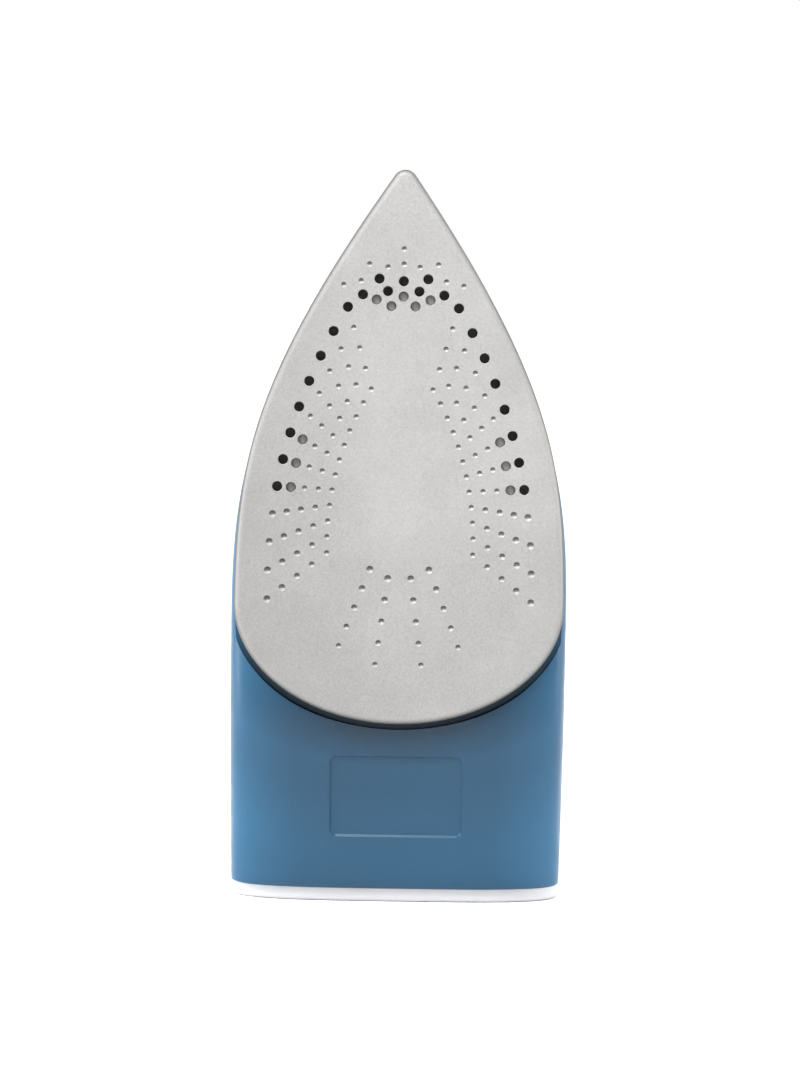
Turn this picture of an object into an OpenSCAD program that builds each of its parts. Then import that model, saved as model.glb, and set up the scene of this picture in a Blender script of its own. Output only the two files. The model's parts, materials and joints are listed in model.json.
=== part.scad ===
// Steam iron, parked on its heel with the tip up.
//
// Every part is drawn in the ironing pose: y runs from the heel to the tip and z goes up
// from the soleplate's working face. parked() then stands the iron on its heel, where +Z is
// up, the soleplate faces -Y and the origin is under the middle of the iron.

/* [Soleplate] */
// Greatest width of the soleplate
sole_w = 118; // [114:1:122]
// Length of the soleplate from its tip to its rear edge
sole_l = 198; // [194:1:202]
// Thickness of the soleplate
sole_t = 5; // [4.5:0.1:5.2]
// Radius of the soleplate's tip
nose_r = 4.5; // [4:0.5:7]
// Radius of the large steam vents
vent_r = 1.8; // [1.5:0.1:2]
// Radius of the small steam dimples
dimple_r = 0.9; // [0.7:0.1:1]

/* [Body] */
// Length from the heel's resting face to the soleplate's tip
body_l = 265; // [262:1:268]
// Width of the body at the heel
body_w = 121; // [119:1:124]
// Height of the deck under the handle
deck_z = 64; // [62:1:66]
// Height of the heel's lower edge
heel_z = 32; // [30:1:34]
// Angle of the skirt's slope from the soleplate to the heel
slope_a = 24; // [22:1:25]
// Wall of the moulded shells
wall = 2.5; // [2.2:0.1:2.8]
// Lean of the parked iron
lean = 8.5; // [8:0.5:9.5]

/* [Heel] */
// Thickness of the rear cover
cover_t = 5.5; // [5:0.5:6]
// Width of the recess for the rating label
recess_w = 48; // [40:1:56]
// Length of the recess for the rating label
recess_l = 30; // [24:1:32]
// Depth of the recess for the rating label
recess_d = 0.5; // [0.3:0.1:0.8]

/* [Handle] */
// Height of the grip's middle line
grip_z = 117; // [116:1:119]
// Half of the grip's width
grip_w = 17.5; // [17:0.5:19]
// Half of the grip's depth
grip_h = 14; // [13.5:0.5:14.5]

/* [Controls] */
// Radius of the temperature dial
dial_r = 23; // [20:1:24]
// Radius of the steam knob
knob_r = 8; // [7:0.5:8.5]
// Bore of the cord bush
cord_r = 3.75; // [3:0.25:4]
// Length of the cord bush beyond its ball
bush_l = 30; // [24:1:32]

/* [Hidden] */

$fn = 48;
BLUE = [0.33, 0.46, 0.58];
WHITE = [0.93, 0.94, 0.95];
TANK = [0.55, 0.72, 0.84, 0.6];
ALLOY = [0.76, 0.77, 0.76];
BRASS = [0.78, 0.62, 0.30];
STEEL = [0.70, 0.71, 0.72];
DARK = [0.16, 0.17, 0.19];

tip_y = body_l;
nose_a = 34.5;
widest_t = 155;
widest_y = tip_y - widest_t;
rear_y = tip_y - sole_l;
cover_y = cover_t / cos(lean);
// The body's tip sits this far behind the soleplate's
tip_back = 4;
// Underside of the skirt beside the soleplate, and the shelf inside it
skirt_z = 3.5;
shelf_z = sole_t + 1;
tank_y = 132;
dial_y = 104;
valve_y = 190;
casting_top = 15;
far = 400;

function lerp(a, b, k) = a + (b - a) * k;
function bezier(p, k) = pow(1 - k, 3) * p[0] + 3 * k * pow(1 - k, 2) * p[1]
    + 3 * k * k * (1 - k) * p[2] + pow(k, 3) * p[3];
function backwards(v) = [for (i = [len(v) - 1:-1:0]) v[i]];
// Grows softly from 0 once v passes 0, over a length of about b
function soft_rise(v, b) = (v + sqrt(v * v + b * b)) / 2;

// Stands the iron on its heel, with the middle of its depth over the origin
mid_y = 80.22;
module parked() {
    translate([0, -mid_y, heel_z * sin(lean)]) rotate([90 + lean, 0, 180]) children();
}

// Keeps a shell's skins together as one mesh; a size of 0 leaves every side as it is
module one_skin() {
    resize([0, 0, 0]) children();
}

// ---- Plan outline of the soleplate: half widths against the distance behind the tip ----

nose_start = nose_r * [cos(nose_a), 1 - sin(nose_a)];
nose_end = [sole_w / 2, widest_t];
nose_curve = [nose_start, nose_start + 88 * [sin(nose_a), cos(nose_a)],
    nose_end - [0, 50], nose_end];

half_outline = concat(
    [for (i = [0:4]) let (a = lerp(90, nose_a, i / 5)) nose_r * [cos(a), 1 - sin(a)]],
    [for (i = [0:20]) bezier(nose_curve, i / 20)],
    [for (i = [1:14]) let (a = 90 * i / 14)
        [sole_w / 2 * cos(a), widest_t + (sole_l - widest_t) * sin(a)]]);

module sole_outline(grow = 0) {
    right = [for (p = half_outline) [p[0], tip_y - p[1]]];
    left = [for (i = [len(right) - 2:-1:1]) [-right[i][0], right[i][1]]];
    if (grow == 0) polygon(concat(right, left));
    else offset(delta = grow) polygon(concat(right, left));
}

// ---- Body sections: squared ovals across the body, at stations from the heel to the nose ----

// Each station is [distance from the heel, half width]
stations = concat(
    [for (i = [0:11]) [lerp(cover_y, widest_y, i / 12), body_w / 2]],
    [for (i = [16:-1:0]) let (p = bezier(nose_curve, i / 16))
        [tip_y - tip_back - p[1], p[0] * body_w / sole_w]]);

function underside(y) = skirt_z + soft_rise((64 - y) * tan(slope_a), 4)
    * (heel_z - skirt_z) / (64 * tan(slope_a));
// Height of the seam between the lower and upper shells, which climbs towards the heel
seam_z = 20;
function split(y) = seam_z + 20 * pow(max(0, 1 - y / 200), 1.6) + 8 * pow(max(0, 1 - y / 100), 2);
function top(y) = y < 200 ? deck_z : 26 + (deck_z - 26) * sqrt(max(0, 1 - pow((y - 200) / 62.5, 2)));
function lower_squareness(y) = lerp(3.5, 8, min(1, y / 110));
function upper_squareness(y) = lerp(3, 2.3, y / tip_y);

// A section's rear end leans with the heel, and the lean fades out by the middle of the body
function leaning(y, z) = y + (z - heel_z) * tan(lean)
    * (y < widest_y ? pow((widest_y - y) / (widest_y - cover_y), 2) : 0);
function half_oval(w, h, n) = [for (j = [0:24]) let (a = 7.5 * j)
    [w * sign(cos(a)) * pow(abs(cos(a)), 2 / n), h * pow(abs(sin(a)), 2 / n)]];
function place(y, z0, half) = [for (p = half) [p[0], leaning(y, z0 + p[1]), z0 + p[1]]];
// The inner skin shrinks to nothing in the nose, so that the shell closes there
function inner_w(w) = w < 5 ? 0.3 : w - wall;
function inner_h(w, h) = w < 5 ? 0.3 : h;

function upper_half(s, grow) = place(s[0], split(s[0]),
    half_oval(s[1] + grow, top(s[0]) + grow - split(s[0]), upper_squareness(s[0])));
function lower_half(s) = place(s[0], split(s[0]),
    [for (p = half_oval(s[1], split(s[0]) - underside(s[0]), lower_squareness(s[0])))
        [p[0], -p[1]]]);

function upper_wall(s) = concat(upper_half(s, 0), backwards(place(s[0], split(s[0]),
    half_oval(inner_w(s[1]), inner_h(s[1], top(s[0]) - wall - split(s[0])),
        upper_squareness(s[0])))));
function lower_wall(s) = let (floor_z = max(underside(s[0]), shelf_z) + wall)
    concat(lower_half(s), backwards(place(s[0], split(s[0]),
    [for (p = half_oval(inner_w(s[1]), inner_h(s[1], split(s[0]) - floor_z),
        lower_squareness(s[0]))) [p[0], -p[1]]])));

// Skins a row of rings that have the same number of points
module loft(rings, flip = false) {
    n = len(rings[0]);
    m = len(rings);
    sides = [for (i = [0:m - 2]) for (j = [0:n - 1]) let (a = i * n + j, b = i * n + (j + 1) % n)
        each [[a, a + n, b], [b, a + n, b + n]]];
    ends = [[for (j = [0:n - 1]) j], [for (j = [n - 1:-1:0]) (m - 1) * n + j]];
    faces = concat(sides, ends);
    polyhedron([for (r = rings) each r], flip ? faces : [for (f = faces) backwards(f)],
        convexity = 8);
}

module upper_solid(grow = 0) {
    loft([for (s = stations) upper_half(s, grow)]);
}
module upper_shell() {
    loft([for (s = stations) upper_wall(s)]);
}
module between_y(low, high) {
    translate([-100, low, -50]) cube([200, high - low, 250]);
}
// Everything behind the plane that lies the given distance in front of the heel's face
module behind_heel(depth) {
    translate([0, 0, heel_z]) rotate([-lean, 0, 0]) translate([-200, depth - far, -200])
        cube([far, far, far]);
}

// ---- Soleplate, heater and steam chamber ----

module dimple(x, y, r) {
    translate([x, y, -1]) cylinder(r = r, h = 2.2, $fn = 16);
}
module vent(x, y, r = vent_r) {
    translate([x, y, -1]) cylinder(r = r, h = sole_t + 2, $fn = 24);
}
module pocket(x, y) {
    translate([x, y, -1]) cylinder(r = vent_r, h = 3, $fn = 24);
}

// Two fans of rows, each row running inwards from an outer to an inner curve
fan_outer = [[19.8, 49.4], [38.87, 81.1], [47.93, 115.9], [47, 153.9]];
fan_inner = [[11, 78.6], [21.6, 96.53], [26.6, 116.07], [26, 137.2]];
module side_fan() {
    for (row = [0:11], i = [0:4]) {
        p = lerp(bezier(fan_outer, row / 11), bezier(fan_inner, row / 11), i / 4);
        big = (i == 0 && row < 8);
        blind = (i == 1 && row > 4 && row < 8);
        if (big) vent(p[0], tip_y - p[1]);
        else if (blind) pocket(p[0], tip_y - p[1]);
        else dimple(p[0], tip_y - p[1], row < 8 ? dimple_r : lerp(dimple_r + 0.3, dimple_r, i / 4));
    }
}
module nose_cluster() {
    for (p = [[12.3, 34], [5.7, 35], [15.2, 40], [21.4, 41.5]]) dimple(p[0], tip_y - p[1], dimple_r);
    for (p = [[8.7, 39.2], [5.6, 43.6], [14.5, 44.9]]) vent(p[0], tip_y - p[1]);
    for (p = [[9.6, 46.7], [4.3, 49]]) pocket(p[0], tip_y - p[1]);
}
module rear_cluster() {
    for (i = [0:4]) {
        r = lerp(dimple_r + 0.3, dimple_r, i / 4);
        dimple(lerp(4.1, 8.2, i / 4), tip_y - lerp(146, 176.7, i / 4), r);
        dimple(lerp(10.5, 21.3, i / 4), tip_y - lerp(142.8, 170.2, i / 4), r);
    }
}

module soleplate() color(ALLOY) parked() difference() {
    union() {
        linear_extrude(sole_t) sole_outline(-1.6);
        translate([0, 0, 0.5]) linear_extrude(sole_t - 0.5) sole_outline(-0.7);
        translate([0, 0, 1.4]) linear_extrude(sole_t - 1.4) sole_outline();
    }
    for (side = [0, 1]) mirror([side, 0, 0]) {
        side_fan();
        nose_cluster();
        rear_cluster();
    }
    for (t = [28.5, 33.9]) dimple(0, tip_y - t, dimple_r);
    vent(0, tip_y - 40);
    pocket(0, tip_y - 45.5);
}

module heating_path(inner, outer) {
    difference() {
        sole_outline(-outer);
        sole_outline(-inner);
        translate([-100, rear_y]) square([200, 22]);
    }
}
// Steam runs from the chamber through the ports to a channel over the vents
channel_h = 2;
chamber_floor = 8;
ports = [[0, tip_y - 43], [-35.5, widest_y], [35.5, widest_y]];
module heater_casting() color(ALLOY) parked() difference() {
    translate([0, 0, sole_t]) linear_extrude(casting_top - sole_t) sole_outline(-9);
    translate([0, 0, sole_t - 1]) linear_extrude(1 + channel_h) difference() {
        sole_outline(-9.9);
        sole_outline(-27);
    }
    for (p = ports) translate([p[0], p[1], sole_t]) cylinder(r = 2, h = 10);
    translate([0, 0, chamber_floor]) linear_extrude(20) sole_outline(-21);
    translate([0, 0, 10]) linear_extrude(20) heating_path(16.5, 11);
    for (p = screw_places) translate([p[0], p[1], chamber_floor]) cylinder(r = 1.5, h = 20);
}
module heating_element() color(DARK) parked() {
    translate([0, 0, 10]) linear_extrude(5) heating_path(16.5, 11);
    for (side = [-1, 1]) translate([side * 40, 94, 15]) cylinder(r = 2.2, h = 14);
}
module steam_chamber_cover() color(STEEL) parked() difference() {
    translate([0, 0, casting_top]) linear_extrude(1.5) difference() {
        sole_outline(-17);
        translate([0, valve_y]) circle(r = 2.6);
    }
    for (p = screw_places) translate([p[0], p[1], 10]) cylinder(r = 1.6, h = 20);
}
// The chamber's screws stand in the casting's wall, just inside the heating element
screw_places = [for (side = [-1, 1]) each [[side * 24, 86.5], [side * 39.6, 125], [side * 22.5, 197]]];
module casting_screws() color(STEEL) parked() {
    for (p = screw_places) translate([p[0], p[1], chamber_floor]) {
        cylinder(r = 1.5, h = 8.5);
        translate([0, 0, 8.5]) difference() {
            cylinder(r = 2.8, h = 2);
            translate([0, 0, 1]) cylinder(r = 1.4, h = 2, $fn = 6);
        }
    }
}
module sole_gasket() color(DARK) parked() translate([0, 0, sole_t]) linear_extrude(1) difference() {
    sole_outline(-2.5);
    sole_outline(-6.5);
}
module thermostat() color(STEEL) parked() translate([0, dial_y, casting_top + 1.5]) difference() {
    union() {
        cylinder(r = 14, h = 3);
        translate([0, 0, 3]) cylinder(r = 11, h = 9);
        translate([0, 0, 12]) cylinder(r = 6, h = 5);
        for (side = [-1, 1]) translate([side * 17 - 5, -4, 0]) cube([10, 8, 1.5]);
    }
    translate([0, 0, 8]) cylinder(r = 3.06, h = 20);
}
module thermal_fuse() color(WHITE) parked() translate([0, 76, casting_top + 4.2]) {
    rotate([0, 90, 0]) cylinder(r = 2.4, h = 20, center = true);
    for (side = [-1, 1]) translate([side * 7 - 1, -3, -2.7]) cube([2, 6, 2.7]);
}

// ---- Skirt and rear cover ----

// The recess lies along the slope, between the slope's heights at the recess's two ends
recess_y = 41;
recess_corner = 2;
module recess() {
    ends = [for (side = [-1, 1]) let (y = recess_y + side * recess_l / 2) [y, underside(y)]];
    middle = (ends[0] + ends[1]) / 2;
    slant = ends[1] - ends[0];
    translate([0, middle[0], middle[1]]) rotate([atan2(slant[1], slant[0]), 0, 0])
        translate([0, 0, -5]) linear_extrude(5 + recess_d) offset(r = recess_corner)
            square([recess_w - 2 * recess_corner, recess_l - 2 * recess_corner], center = true);
}
module skirt() color(BLUE) parked() one_skin() difference() {
    loft([for (s = stations) lower_wall(s)], flip = true);
    translate([0, 0, -1]) linear_extrude(shelf_z + 1) sole_outline(2);
    translate([0, 0, -1]) linear_extrude(shelf_z + 9) sole_outline(-6);
    recess();
}

// Places children on the heel's face: x across, y up the face and z out of it
module on_heel() {
    translate([0, 0, heel_z]) rotate([90 - lean, 0, 0]) children();
}
// Half width of the rear pillar against its height up the heel's face
pillar = [[42, 20], [38, 30], [34, 37], [30, 43], [24, 49], [17, 55], [10, 59], [3, 60.5]];
module heel_outline(grow = 0) {
    lift = 1 / cos(lean);
    low = [for (p = half_oval(body_w / 2, split(0) - underside(0), lower_squareness(0)))
        [p[0], (split(0) - heel_z - p[1]) * lift]];
    high = [for (p = half_oval(body_w / 2, deck_z - split(0), upper_squareness(0)))
        [p[0], (split(0) - heel_z + p[1]) * lift]];
    offset(delta = grow) offset(r = -10) offset(delta = 10) union() {
        polygon(concat(low, [for (i = [len(high) - 2:-1:1]) high[i]]));
        polygon(concat(pillar, [for (p = backwards(pillar)) [-p[0], p[1]]]));
    }
}
rear_screw_x = 36;
rear_screw_q = 15;
module rear_cover() color(WHITE) parked() on_heel() difference() {
    union() {
        translate([0, 0, -cover_t + 0.05]) linear_extrude(cover_t - 0.05) heel_outline(-1.8);
        translate([0, 0, -cover_t + 0.05]) linear_extrude(cover_t - 0.65) heel_outline(-0.7);
        translate([0, 0, -cover_t + 0.05]) linear_extrude(cover_t - 1.65) heel_outline();
    }
    for (side = [-1, 1]) translate([side * rear_screw_x, rear_screw_q, -cover_t - 1]) {
        cylinder(r = 1.8, h = 20);
        translate([0, 0, 3.6]) cylinder(r = 3.6, h = 20);
    }
}
module rear_cover_screws() color(STEEL) parked() on_heel() {
    for (side = [-1, 1]) translate([side * rear_screw_x, rear_screw_q, 0]) difference() {
        union() {
            translate([0, 0, -18]) cylinder(r = 1.7, h = 16);
            translate([0, 0, -2.9]) cylinder(r = 3.3, h = 1.9);
        }
        translate([0, 0, -1.9]) cylinder(r = 1.3, h = 3, $fn = 6);
    }
}

// ---- Water tank ----

module filler_mouth() {
    translate([0, 228.5, 40]) linear_extrude(40) offset(r = 2) square([12, 11], center = true);
}
nozzle_at = [0, 244, 43.5];
nozzle_a = 20;
module along_nozzle() {
    translate(nozzle_at) rotate([nozzle_a - 90, 0, 0]) children();
}
hinge_y = 213;
hinge_z = 67;
module along_hinge(from, to) {
    translate([from, hinge_y, hinge_z]) rotate([0, 90, 0]) linear_extrude(to - from) children();
}
module water_tank() color(TANK) parked() difference() {
    one_skin() difference() {
        union() {
            intersection() {
                upper_shell();
                between_y(tank_y, far);
            }
            intersection() {
                upper_solid();
                between_y(tank_y, tank_y + wall);
            }
            for (side = [0, 1]) mirror([side, 0, 0]) hull() {
                along_hinge(7, 9.5) circle(r = 2.4, $fn = 32);
                along_hinge(7, 9.5) translate([4, 0]) square([2, 6], center = true);
            }
        }
        filler_mouth();
        translate([0, valve_y, 40]) cylinder(r = 4.1, h = 40);
        along_nozzle() cylinder(r = 4.05, h = 30, center = true);
        for (side = [-1, 1]) translate([side * 7, 194, 40]) cylinder(r = 2.4, h = 40);
    }
    along_hinge(-20, 20) circle(r = 1);
}
module tank_base() color(WHITE) parked() one_skin() difference() {
    intersection() {
        loft([for (s = stations) let (w = max(s[1] - wall - 1, 0.6), z = split(s[0]))
            [[w, s[0], z], [w, s[0], z + wall], [-w, s[0], z + wall], [-w, s[0], z]]]);
        between_y(tank_y + wall + 0.1, tip_y - 12);
    }
    translate([0, valve_y, 0]) cylinder(r = 3.6, h = 60);
}
module filler_flap() color(WHITE) parked() difference() {
    one_skin() union() {
        difference() {
            intersection() {
                upper_solid(grow = 2.8);
                linear_extrude(90) offset(r = 4) polygon([[-8, 221], [8, 221], [5, 236], [-5, 236]]);
            }
            upper_solid(grow = 0.8);
        }
        hull() {
            along_hinge(-6.5, 6.5) circle(r = 2.2, $fn = 32);
            along_hinge(-6.5, 6.5) translate([1.4, 5.5]) square([1.6, 1.6], center = true);
        }
    }
    along_hinge(-20, 20) circle(r = 1.06);
}
module flap_pin() color(STEEL) parked() along_hinge(-9.5, 9.5) circle(r = 1);

module valve_guide() color(WHITE) parked() translate([0, valve_y, 0]) difference() {
    translate([0, 0, split(valve_y) + wall + 0.4]) cylinder(r = 4, h = deck_z - 1.4 - split(valve_y) - wall);
    cylinder(r = 2.6, h = 90);
}
module valve_seat() color(BRASS) parked() translate([0, valve_y, 0]) difference() {
    union() {
        translate([0, 0, 13]) cylinder(r = 2.5, h = 3.5);
        translate([0, 0, casting_top + 1.5]) cylinder(r = 3.5, h = split(valve_y) + wall - casting_top - 1.5);
    }
    cylinder(r = 0.8, h = 60);
    translate([0, 0, 19]) cylinder(r1 = 0.8, r2 = 2.4, h = 5);
}
module valve_rod() color(STEEL) parked() translate([0, valve_y, 0]) {
    translate([0, 0, 22.2]) cylinder(r1 = 0.6, r2 = 2.2, h = 5);
    translate([0, 0, 27.2]) cylinder(r = 2.2, h = 56);
}
module spray_nozzle() color(WHITE) parked() along_nozzle() difference() {
    union() {
        cylinder(r = 4, h = 13);
        translate([0, 0, 13]) cylinder(r1 = 4, r2 = 3, h = 1.2);
    }
    translate([0, 0, 13.2]) cylinder(r = 1.8, h = 3);
    translate([0, 0, 4]) cylinder(r = 0.5, h = 20);
    translate([0, 0, -1]) cylinder(r = 1.8, h = 5);
}
// A run of tube through the given points, with mitred bends
module tube(points, r) {
    last = len(points) - 1;
    loft([for (i = [0:last])
        let (before = unit(points[max(i, 1)] - points[max(i, 1) - 1]),
            after = unit(points[min(i, last - 1) + 1] - points[min(i, last - 1)]),
            along = unit(before + after), u = unit(cross(along, [1, 0, 0])), v = cross(along, u))
        [for (a = [0:36:324]) points[i] + r * (cos(a) * u + sin(a) * v)]], flip = true);
}
module spray_pipe() color(WHITE) parked()
    tube([[7, 194, 59], [7, 194, 34], [6, 220, 34], [0, 236, 40.6], [0, 243.4, 43.3]], 1.7);

// ---- Rear housing with the deck ----

lens_k = 3.6;
module deck_boss() {
    translate([0, dial_y, deck_z - 2]) cylinder(r = dial_r + 1.2, h = 2.6);
}
// Posts for the rear cover's screws, each hanging from the deck on a web
post_l = 14;
module at_screw_posts() {
    on_heel() for (side = [-1, 1])
        translate([side * rear_screw_x, rear_screw_q, -cover_t - 0.15 - post_l]) children();
}
module screw_posts() {
    at_screw_posts() cylinder(r = 4, h = post_l);
    intersection() {
        upper_solid(grow = -1);
        at_screw_posts() translate([-1, 0, 0]) cube([2, 20, post_l]);
    }
}
module rear_housing() color(WHITE) parked() one_skin() {
    difference() {
        union() {
            intersection() {
                upper_shell();
                between_y(-far, tank_y - 0.3);
            }
            deck_boss();
            screw_posts();
        }
        translate([0, 36, 50]) cylinder(r = 10, h = 40);
        translate([0, dial_y, 0]) cylinder(r = 3.4, h = 90);
        at_screw_posts() translate([0, 0, -1]) cylinder(r = 1.8, h = post_l + 2);
    }
}

// ---- Handle: a hollow loop swept along its middle line ----

// Each point is [y, z, half width, half depth, squareness], from the front foot over the grip
// to the heel
handle_points = [[198, 24, 21, 16, 2.5], [196, 52, 16, 13.5, 2.5], [195, 76, 14.5, 13, 2.5],
    [186, 98, 15.5, 13.5, 2.5], [162, grip_z - 5, grip_w - 0.5, grip_h, 2.5],
    [128, grip_z, grip_w + 0.5, grip_h, 2.5], [92, grip_z - 2, grip_w, grip_h - 0.5, 2.5],
    [62, grip_z - 11, grip_w + 0.5, grip_h + 1, 2.7], [41, 90, 22, 24, 3.5],
    [36, 68, 32, 28, 5], [28, 46, 44, 28, 5], [20, 24, 52, 28, 5]];
spans = len(handle_points) - 3;

function catmull(p, k) = (2 * p[1] + k * (p[2] - p[0])
    + k * k * (2 * p[0] - 5 * p[1] + 4 * p[2] - p[3])
    + k * k * k * (3 * p[1] - p[0] - 3 * p[2] + p[3])) / 2;
function handle_at(k) = let (i = min(floor(k), spans - 1))
    catmull([for (j = [0:3]) handle_points[i + j]], k - i);
function unit(v) = v / norm(v);
function handle_tangent(k) = let (d = handle_at(min(k + 0.01, spans)) - handle_at(max(k - 0.01, 0)))
    unit([d[0], d[1]]);

// A point of the section at k: x across and h out from the middle line
function on_section(k, x, h) = let (c = handle_at(k), t = handle_tangent(k))
    [x, c[0] + t[1] * h, c[1] - t[0] * h];
// Half of the section: side is 1 on the outside of the loop and -1 on the finger side
function handle_half(k, side, grow, from = 0, to = 180, steps = 16) = let (c = handle_at(k))
    [for (j = [0:steps]) let (a = lerp(from, to, j / steps), e = 2 / c[4])
        on_section(k, (c[2] + grow) * sign(cos(a)) * pow(abs(cos(a)), e),
            side * (c[3] + grow) * pow(abs(sin(a)), e))];
sweep = [for (i = [0:spans * 3]) i / 3];

module handle_solid(grow) {
    loft([for (k = sweep) concat(handle_half(k, 1, grow),
        [for (i = [15:-1:1]) handle_half(k, -1, grow)[i]])], flip = true);
}
module handle_side(side) {
    difference() {
        loft([for (k = sweep) concat(handle_half(k, side, 0), backwards(handle_half(k, side, -wall)))],
            flip = side > 0);
        upper_solid(grow = 0.05);
        behind_heel(cover_t);
    }
}
// Places children on the handle at k: x across, y towards the front, z out of the loop
module on_handle(k, h = 0) {
    c = on_section(k, 0, h);
    t = handle_tangent(k);
    translate(c) rotate([atan2(-t[1], -t[0]), 0, 0]) children();
}
button_k = 2.8;
knob_k = 1.7;
bush_k = 6.25;
button_x = 6.4;
button_out = [10.6, 19];
module button_prism(side, grow) {
    on_handle(button_k) translate([side * button_x, 0, 0]) linear_extrude(30)
        offset(r = 2 + grow) square(button_out - [4, 4], center = true);
}
module handle_shell() color(WHITE) parked() one_skin() handle_side(-1);
module handle_cover() color(BLUE) parked() difference() {
    one_skin() difference() {
        union() {
            difference() {
                handle_side(1);
                on_handle(bush_k) translate([0, 0, grip_h - 4]) cylinder(r = 15, h = 20);
            }
            intersection() {
                on_handle(bush_k) translate([0, 0, 4.5]) cylinder(r = 15.4, h = grip_h - 3.7);
                handle_solid(grow = 1.2);
            }
            intersection() {
                on_handle(knob_k) translate([0, 0, 8.5]) cylinder(r = knob_r + 1.4, h = 5.9);
                handle_solid(grow = 2);
            }
        }
        for (side = [-1, 1]) button_prism(side, 0.4);
        on_handle(lens_k, 5) linear_extrude(20) offset(r = 2.55) square([0.01, 7], center = true);
    }
    on_handle(bush_k) cylinder(r = 12.3, h = 40);
    on_handle(knob_k) cylinder(r = 2.55, h = 40);
}
module grip_insert() color(DARK) parked() loft([for (i = [0:12]) let (k = lerp(2.7, 6, i / 12))
    concat(handle_half(k, -1, 0.3, 20, 160, 12),
        backwards(handle_half(k, -1, 1.7, 20, 160, 12)))], flip = true);

// ---- Controls on the handle ----

module button(side) {
    one_skin() difference() {
        intersection() {
            handle_solid(grow = 1.6);
            button_prism(side, 0);
        }
        handle_solid(grow = -1);
    }
    on_handle(button_k) translate([side * button_x, 0, -3.5]) cylinder(r = 2.2, h = 16);
}
module steam_button() color(DARK) parked() button(-1);
module spray_button() color(DARK) parked() button(1);
// The pump stands under its button, with the button's stem as its plunger
module pump(side) {
    on_handle(button_k) translate([side * button_x, 0, 0]) difference() {
        translate([0, 0, -8]) cylinder(r = 4, h = 10);
        translate([0, 0, -6.8]) cylinder(r = 2.28, h = 20);
    }
}
module steam_pump() color(WHITE) parked() pump(-1);
module spray_pump() color(WHITE) parked() pump(1);
// A coil spring, drawn as a stack of its turns
module button_spring(side) {
    on_handle(button_k) translate([side * button_x, 0, 2.5])
        for (turn = [0:4]) translate([0, 0, turn * 1.8]) rotate_extrude()
            translate([3, 0]) circle(r = 0.4, $fn = 16);
}
module steam_button_spring() color(STEEL) parked() button_spring(-1);
module spray_button_spring() color(STEEL) parked() button_spring(1);
module pump_hoses() color(WHITE) parked() for (side = [-1, 1])
    tube(concat([for (k = [2.58, 2, 1.5, 1, 0.7]) on_section(k, side * 6, -3)],
        [[side * 7, 194, 60.4]]), 1.7);
module steam_knob() color(DARK) parked() on_handle(knob_k) {
    translate([0, 0, 8]) cylinder(r = 2.5, h = 8);
    translate([0, 0, 14.9]) ribbed_disc(knob_r, 5, 20, 0.3);
    translate([0, 0, 19.9]) cylinder(r1 = knob_r - 0.6, r2 = knob_r - 1.8, h = 1.2);
    translate([-0.8, 1, 20.5]) cube([1.6, knob_r - 3.4, 1.4]);
}
// A disc whose edge waves in and out, for grip
module ribbed_disc(r, h, ribs, wave) {
    linear_extrude(h) polygon([for (i = [0:ribs * 6 - 1]) let (a = 60 * i / ribs)
        (r - wave + wave * cos(a * ribs)) * [cos(a), sin(a)]]);
}
module pilot_lamp_lens() color([0.9, 0.35, 0.15]) parked() on_handle(lens_k, grip_h - 4)
    linear_extrude(4.4) offset(r = 2.4) square([0.01, 7], center = true);
module pilot_lamp() color([1, 0.8, 0.6]) parked() on_handle(lens_k, grip_h - 11) {
    cylinder(r = 2.4, h = 5);
    translate([0, 0, 5]) sphere(r = 1.9);
}

// ---- Temperature dial ----

module temperature_dial() color(DARK) parked() translate([0, dial_y, deck_z + 0.9]) difference() {
    union() {
        ribbed_disc(dial_r, 4.6, 36, 0.45);
        translate([0, 0, 4.6]) cylinder(r1 = dial_r - 1.2, r2 = dial_r - 3.4, h = 1.4);
        translate([-1.2, 9, 5]) cube([2.4, dial_r - 13.5, 1.8]);
    }
    translate([0, 0, -1]) cylinder(r = 3, h = 4.5);
}
module dial_shaft() color(STEEL) parked() translate([0, dial_y, 26])
    cylinder(r = 3, h = deck_z + 0.9 + 3.5 - 26);

// ---- Cord inlet: a ball bush in a swivelling collar ----

ball_r = 9;
module cord_collar() color(WHITE) parked() on_handle(bush_k, grip_h) difference() {
    union() {
        translate([0, 0, -7]) cylinder(r = 12, h = 8);
        translate([0, 0, 1]) cylinder(r1 = 12, r2 = 10.4, h = 1.5);
    }
    sphere(r = ball_r + 0.3);
}
module cord_bush() color(DARK) parked() on_handle(bush_k, grip_h) difference() {
    union() {
        intersection() {
            sphere(r = ball_r);
            translate([0, 0, -7.5]) cylinder(r = 20, h = 30);
        }
        cylinder(r1 = 5.6, r2 = 5, h = bush_l);
        for (i = [0:5]) translate([0, 0, 12 + 3 * i]) cylinder(r = 5.9 - 0.08 * i, h = 1.4);
    }
    translate([0, 0, -20]) cylinder(r = cord_r, h = 80);
}

// ---- Mains terminals and wires, in the heel ----

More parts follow.
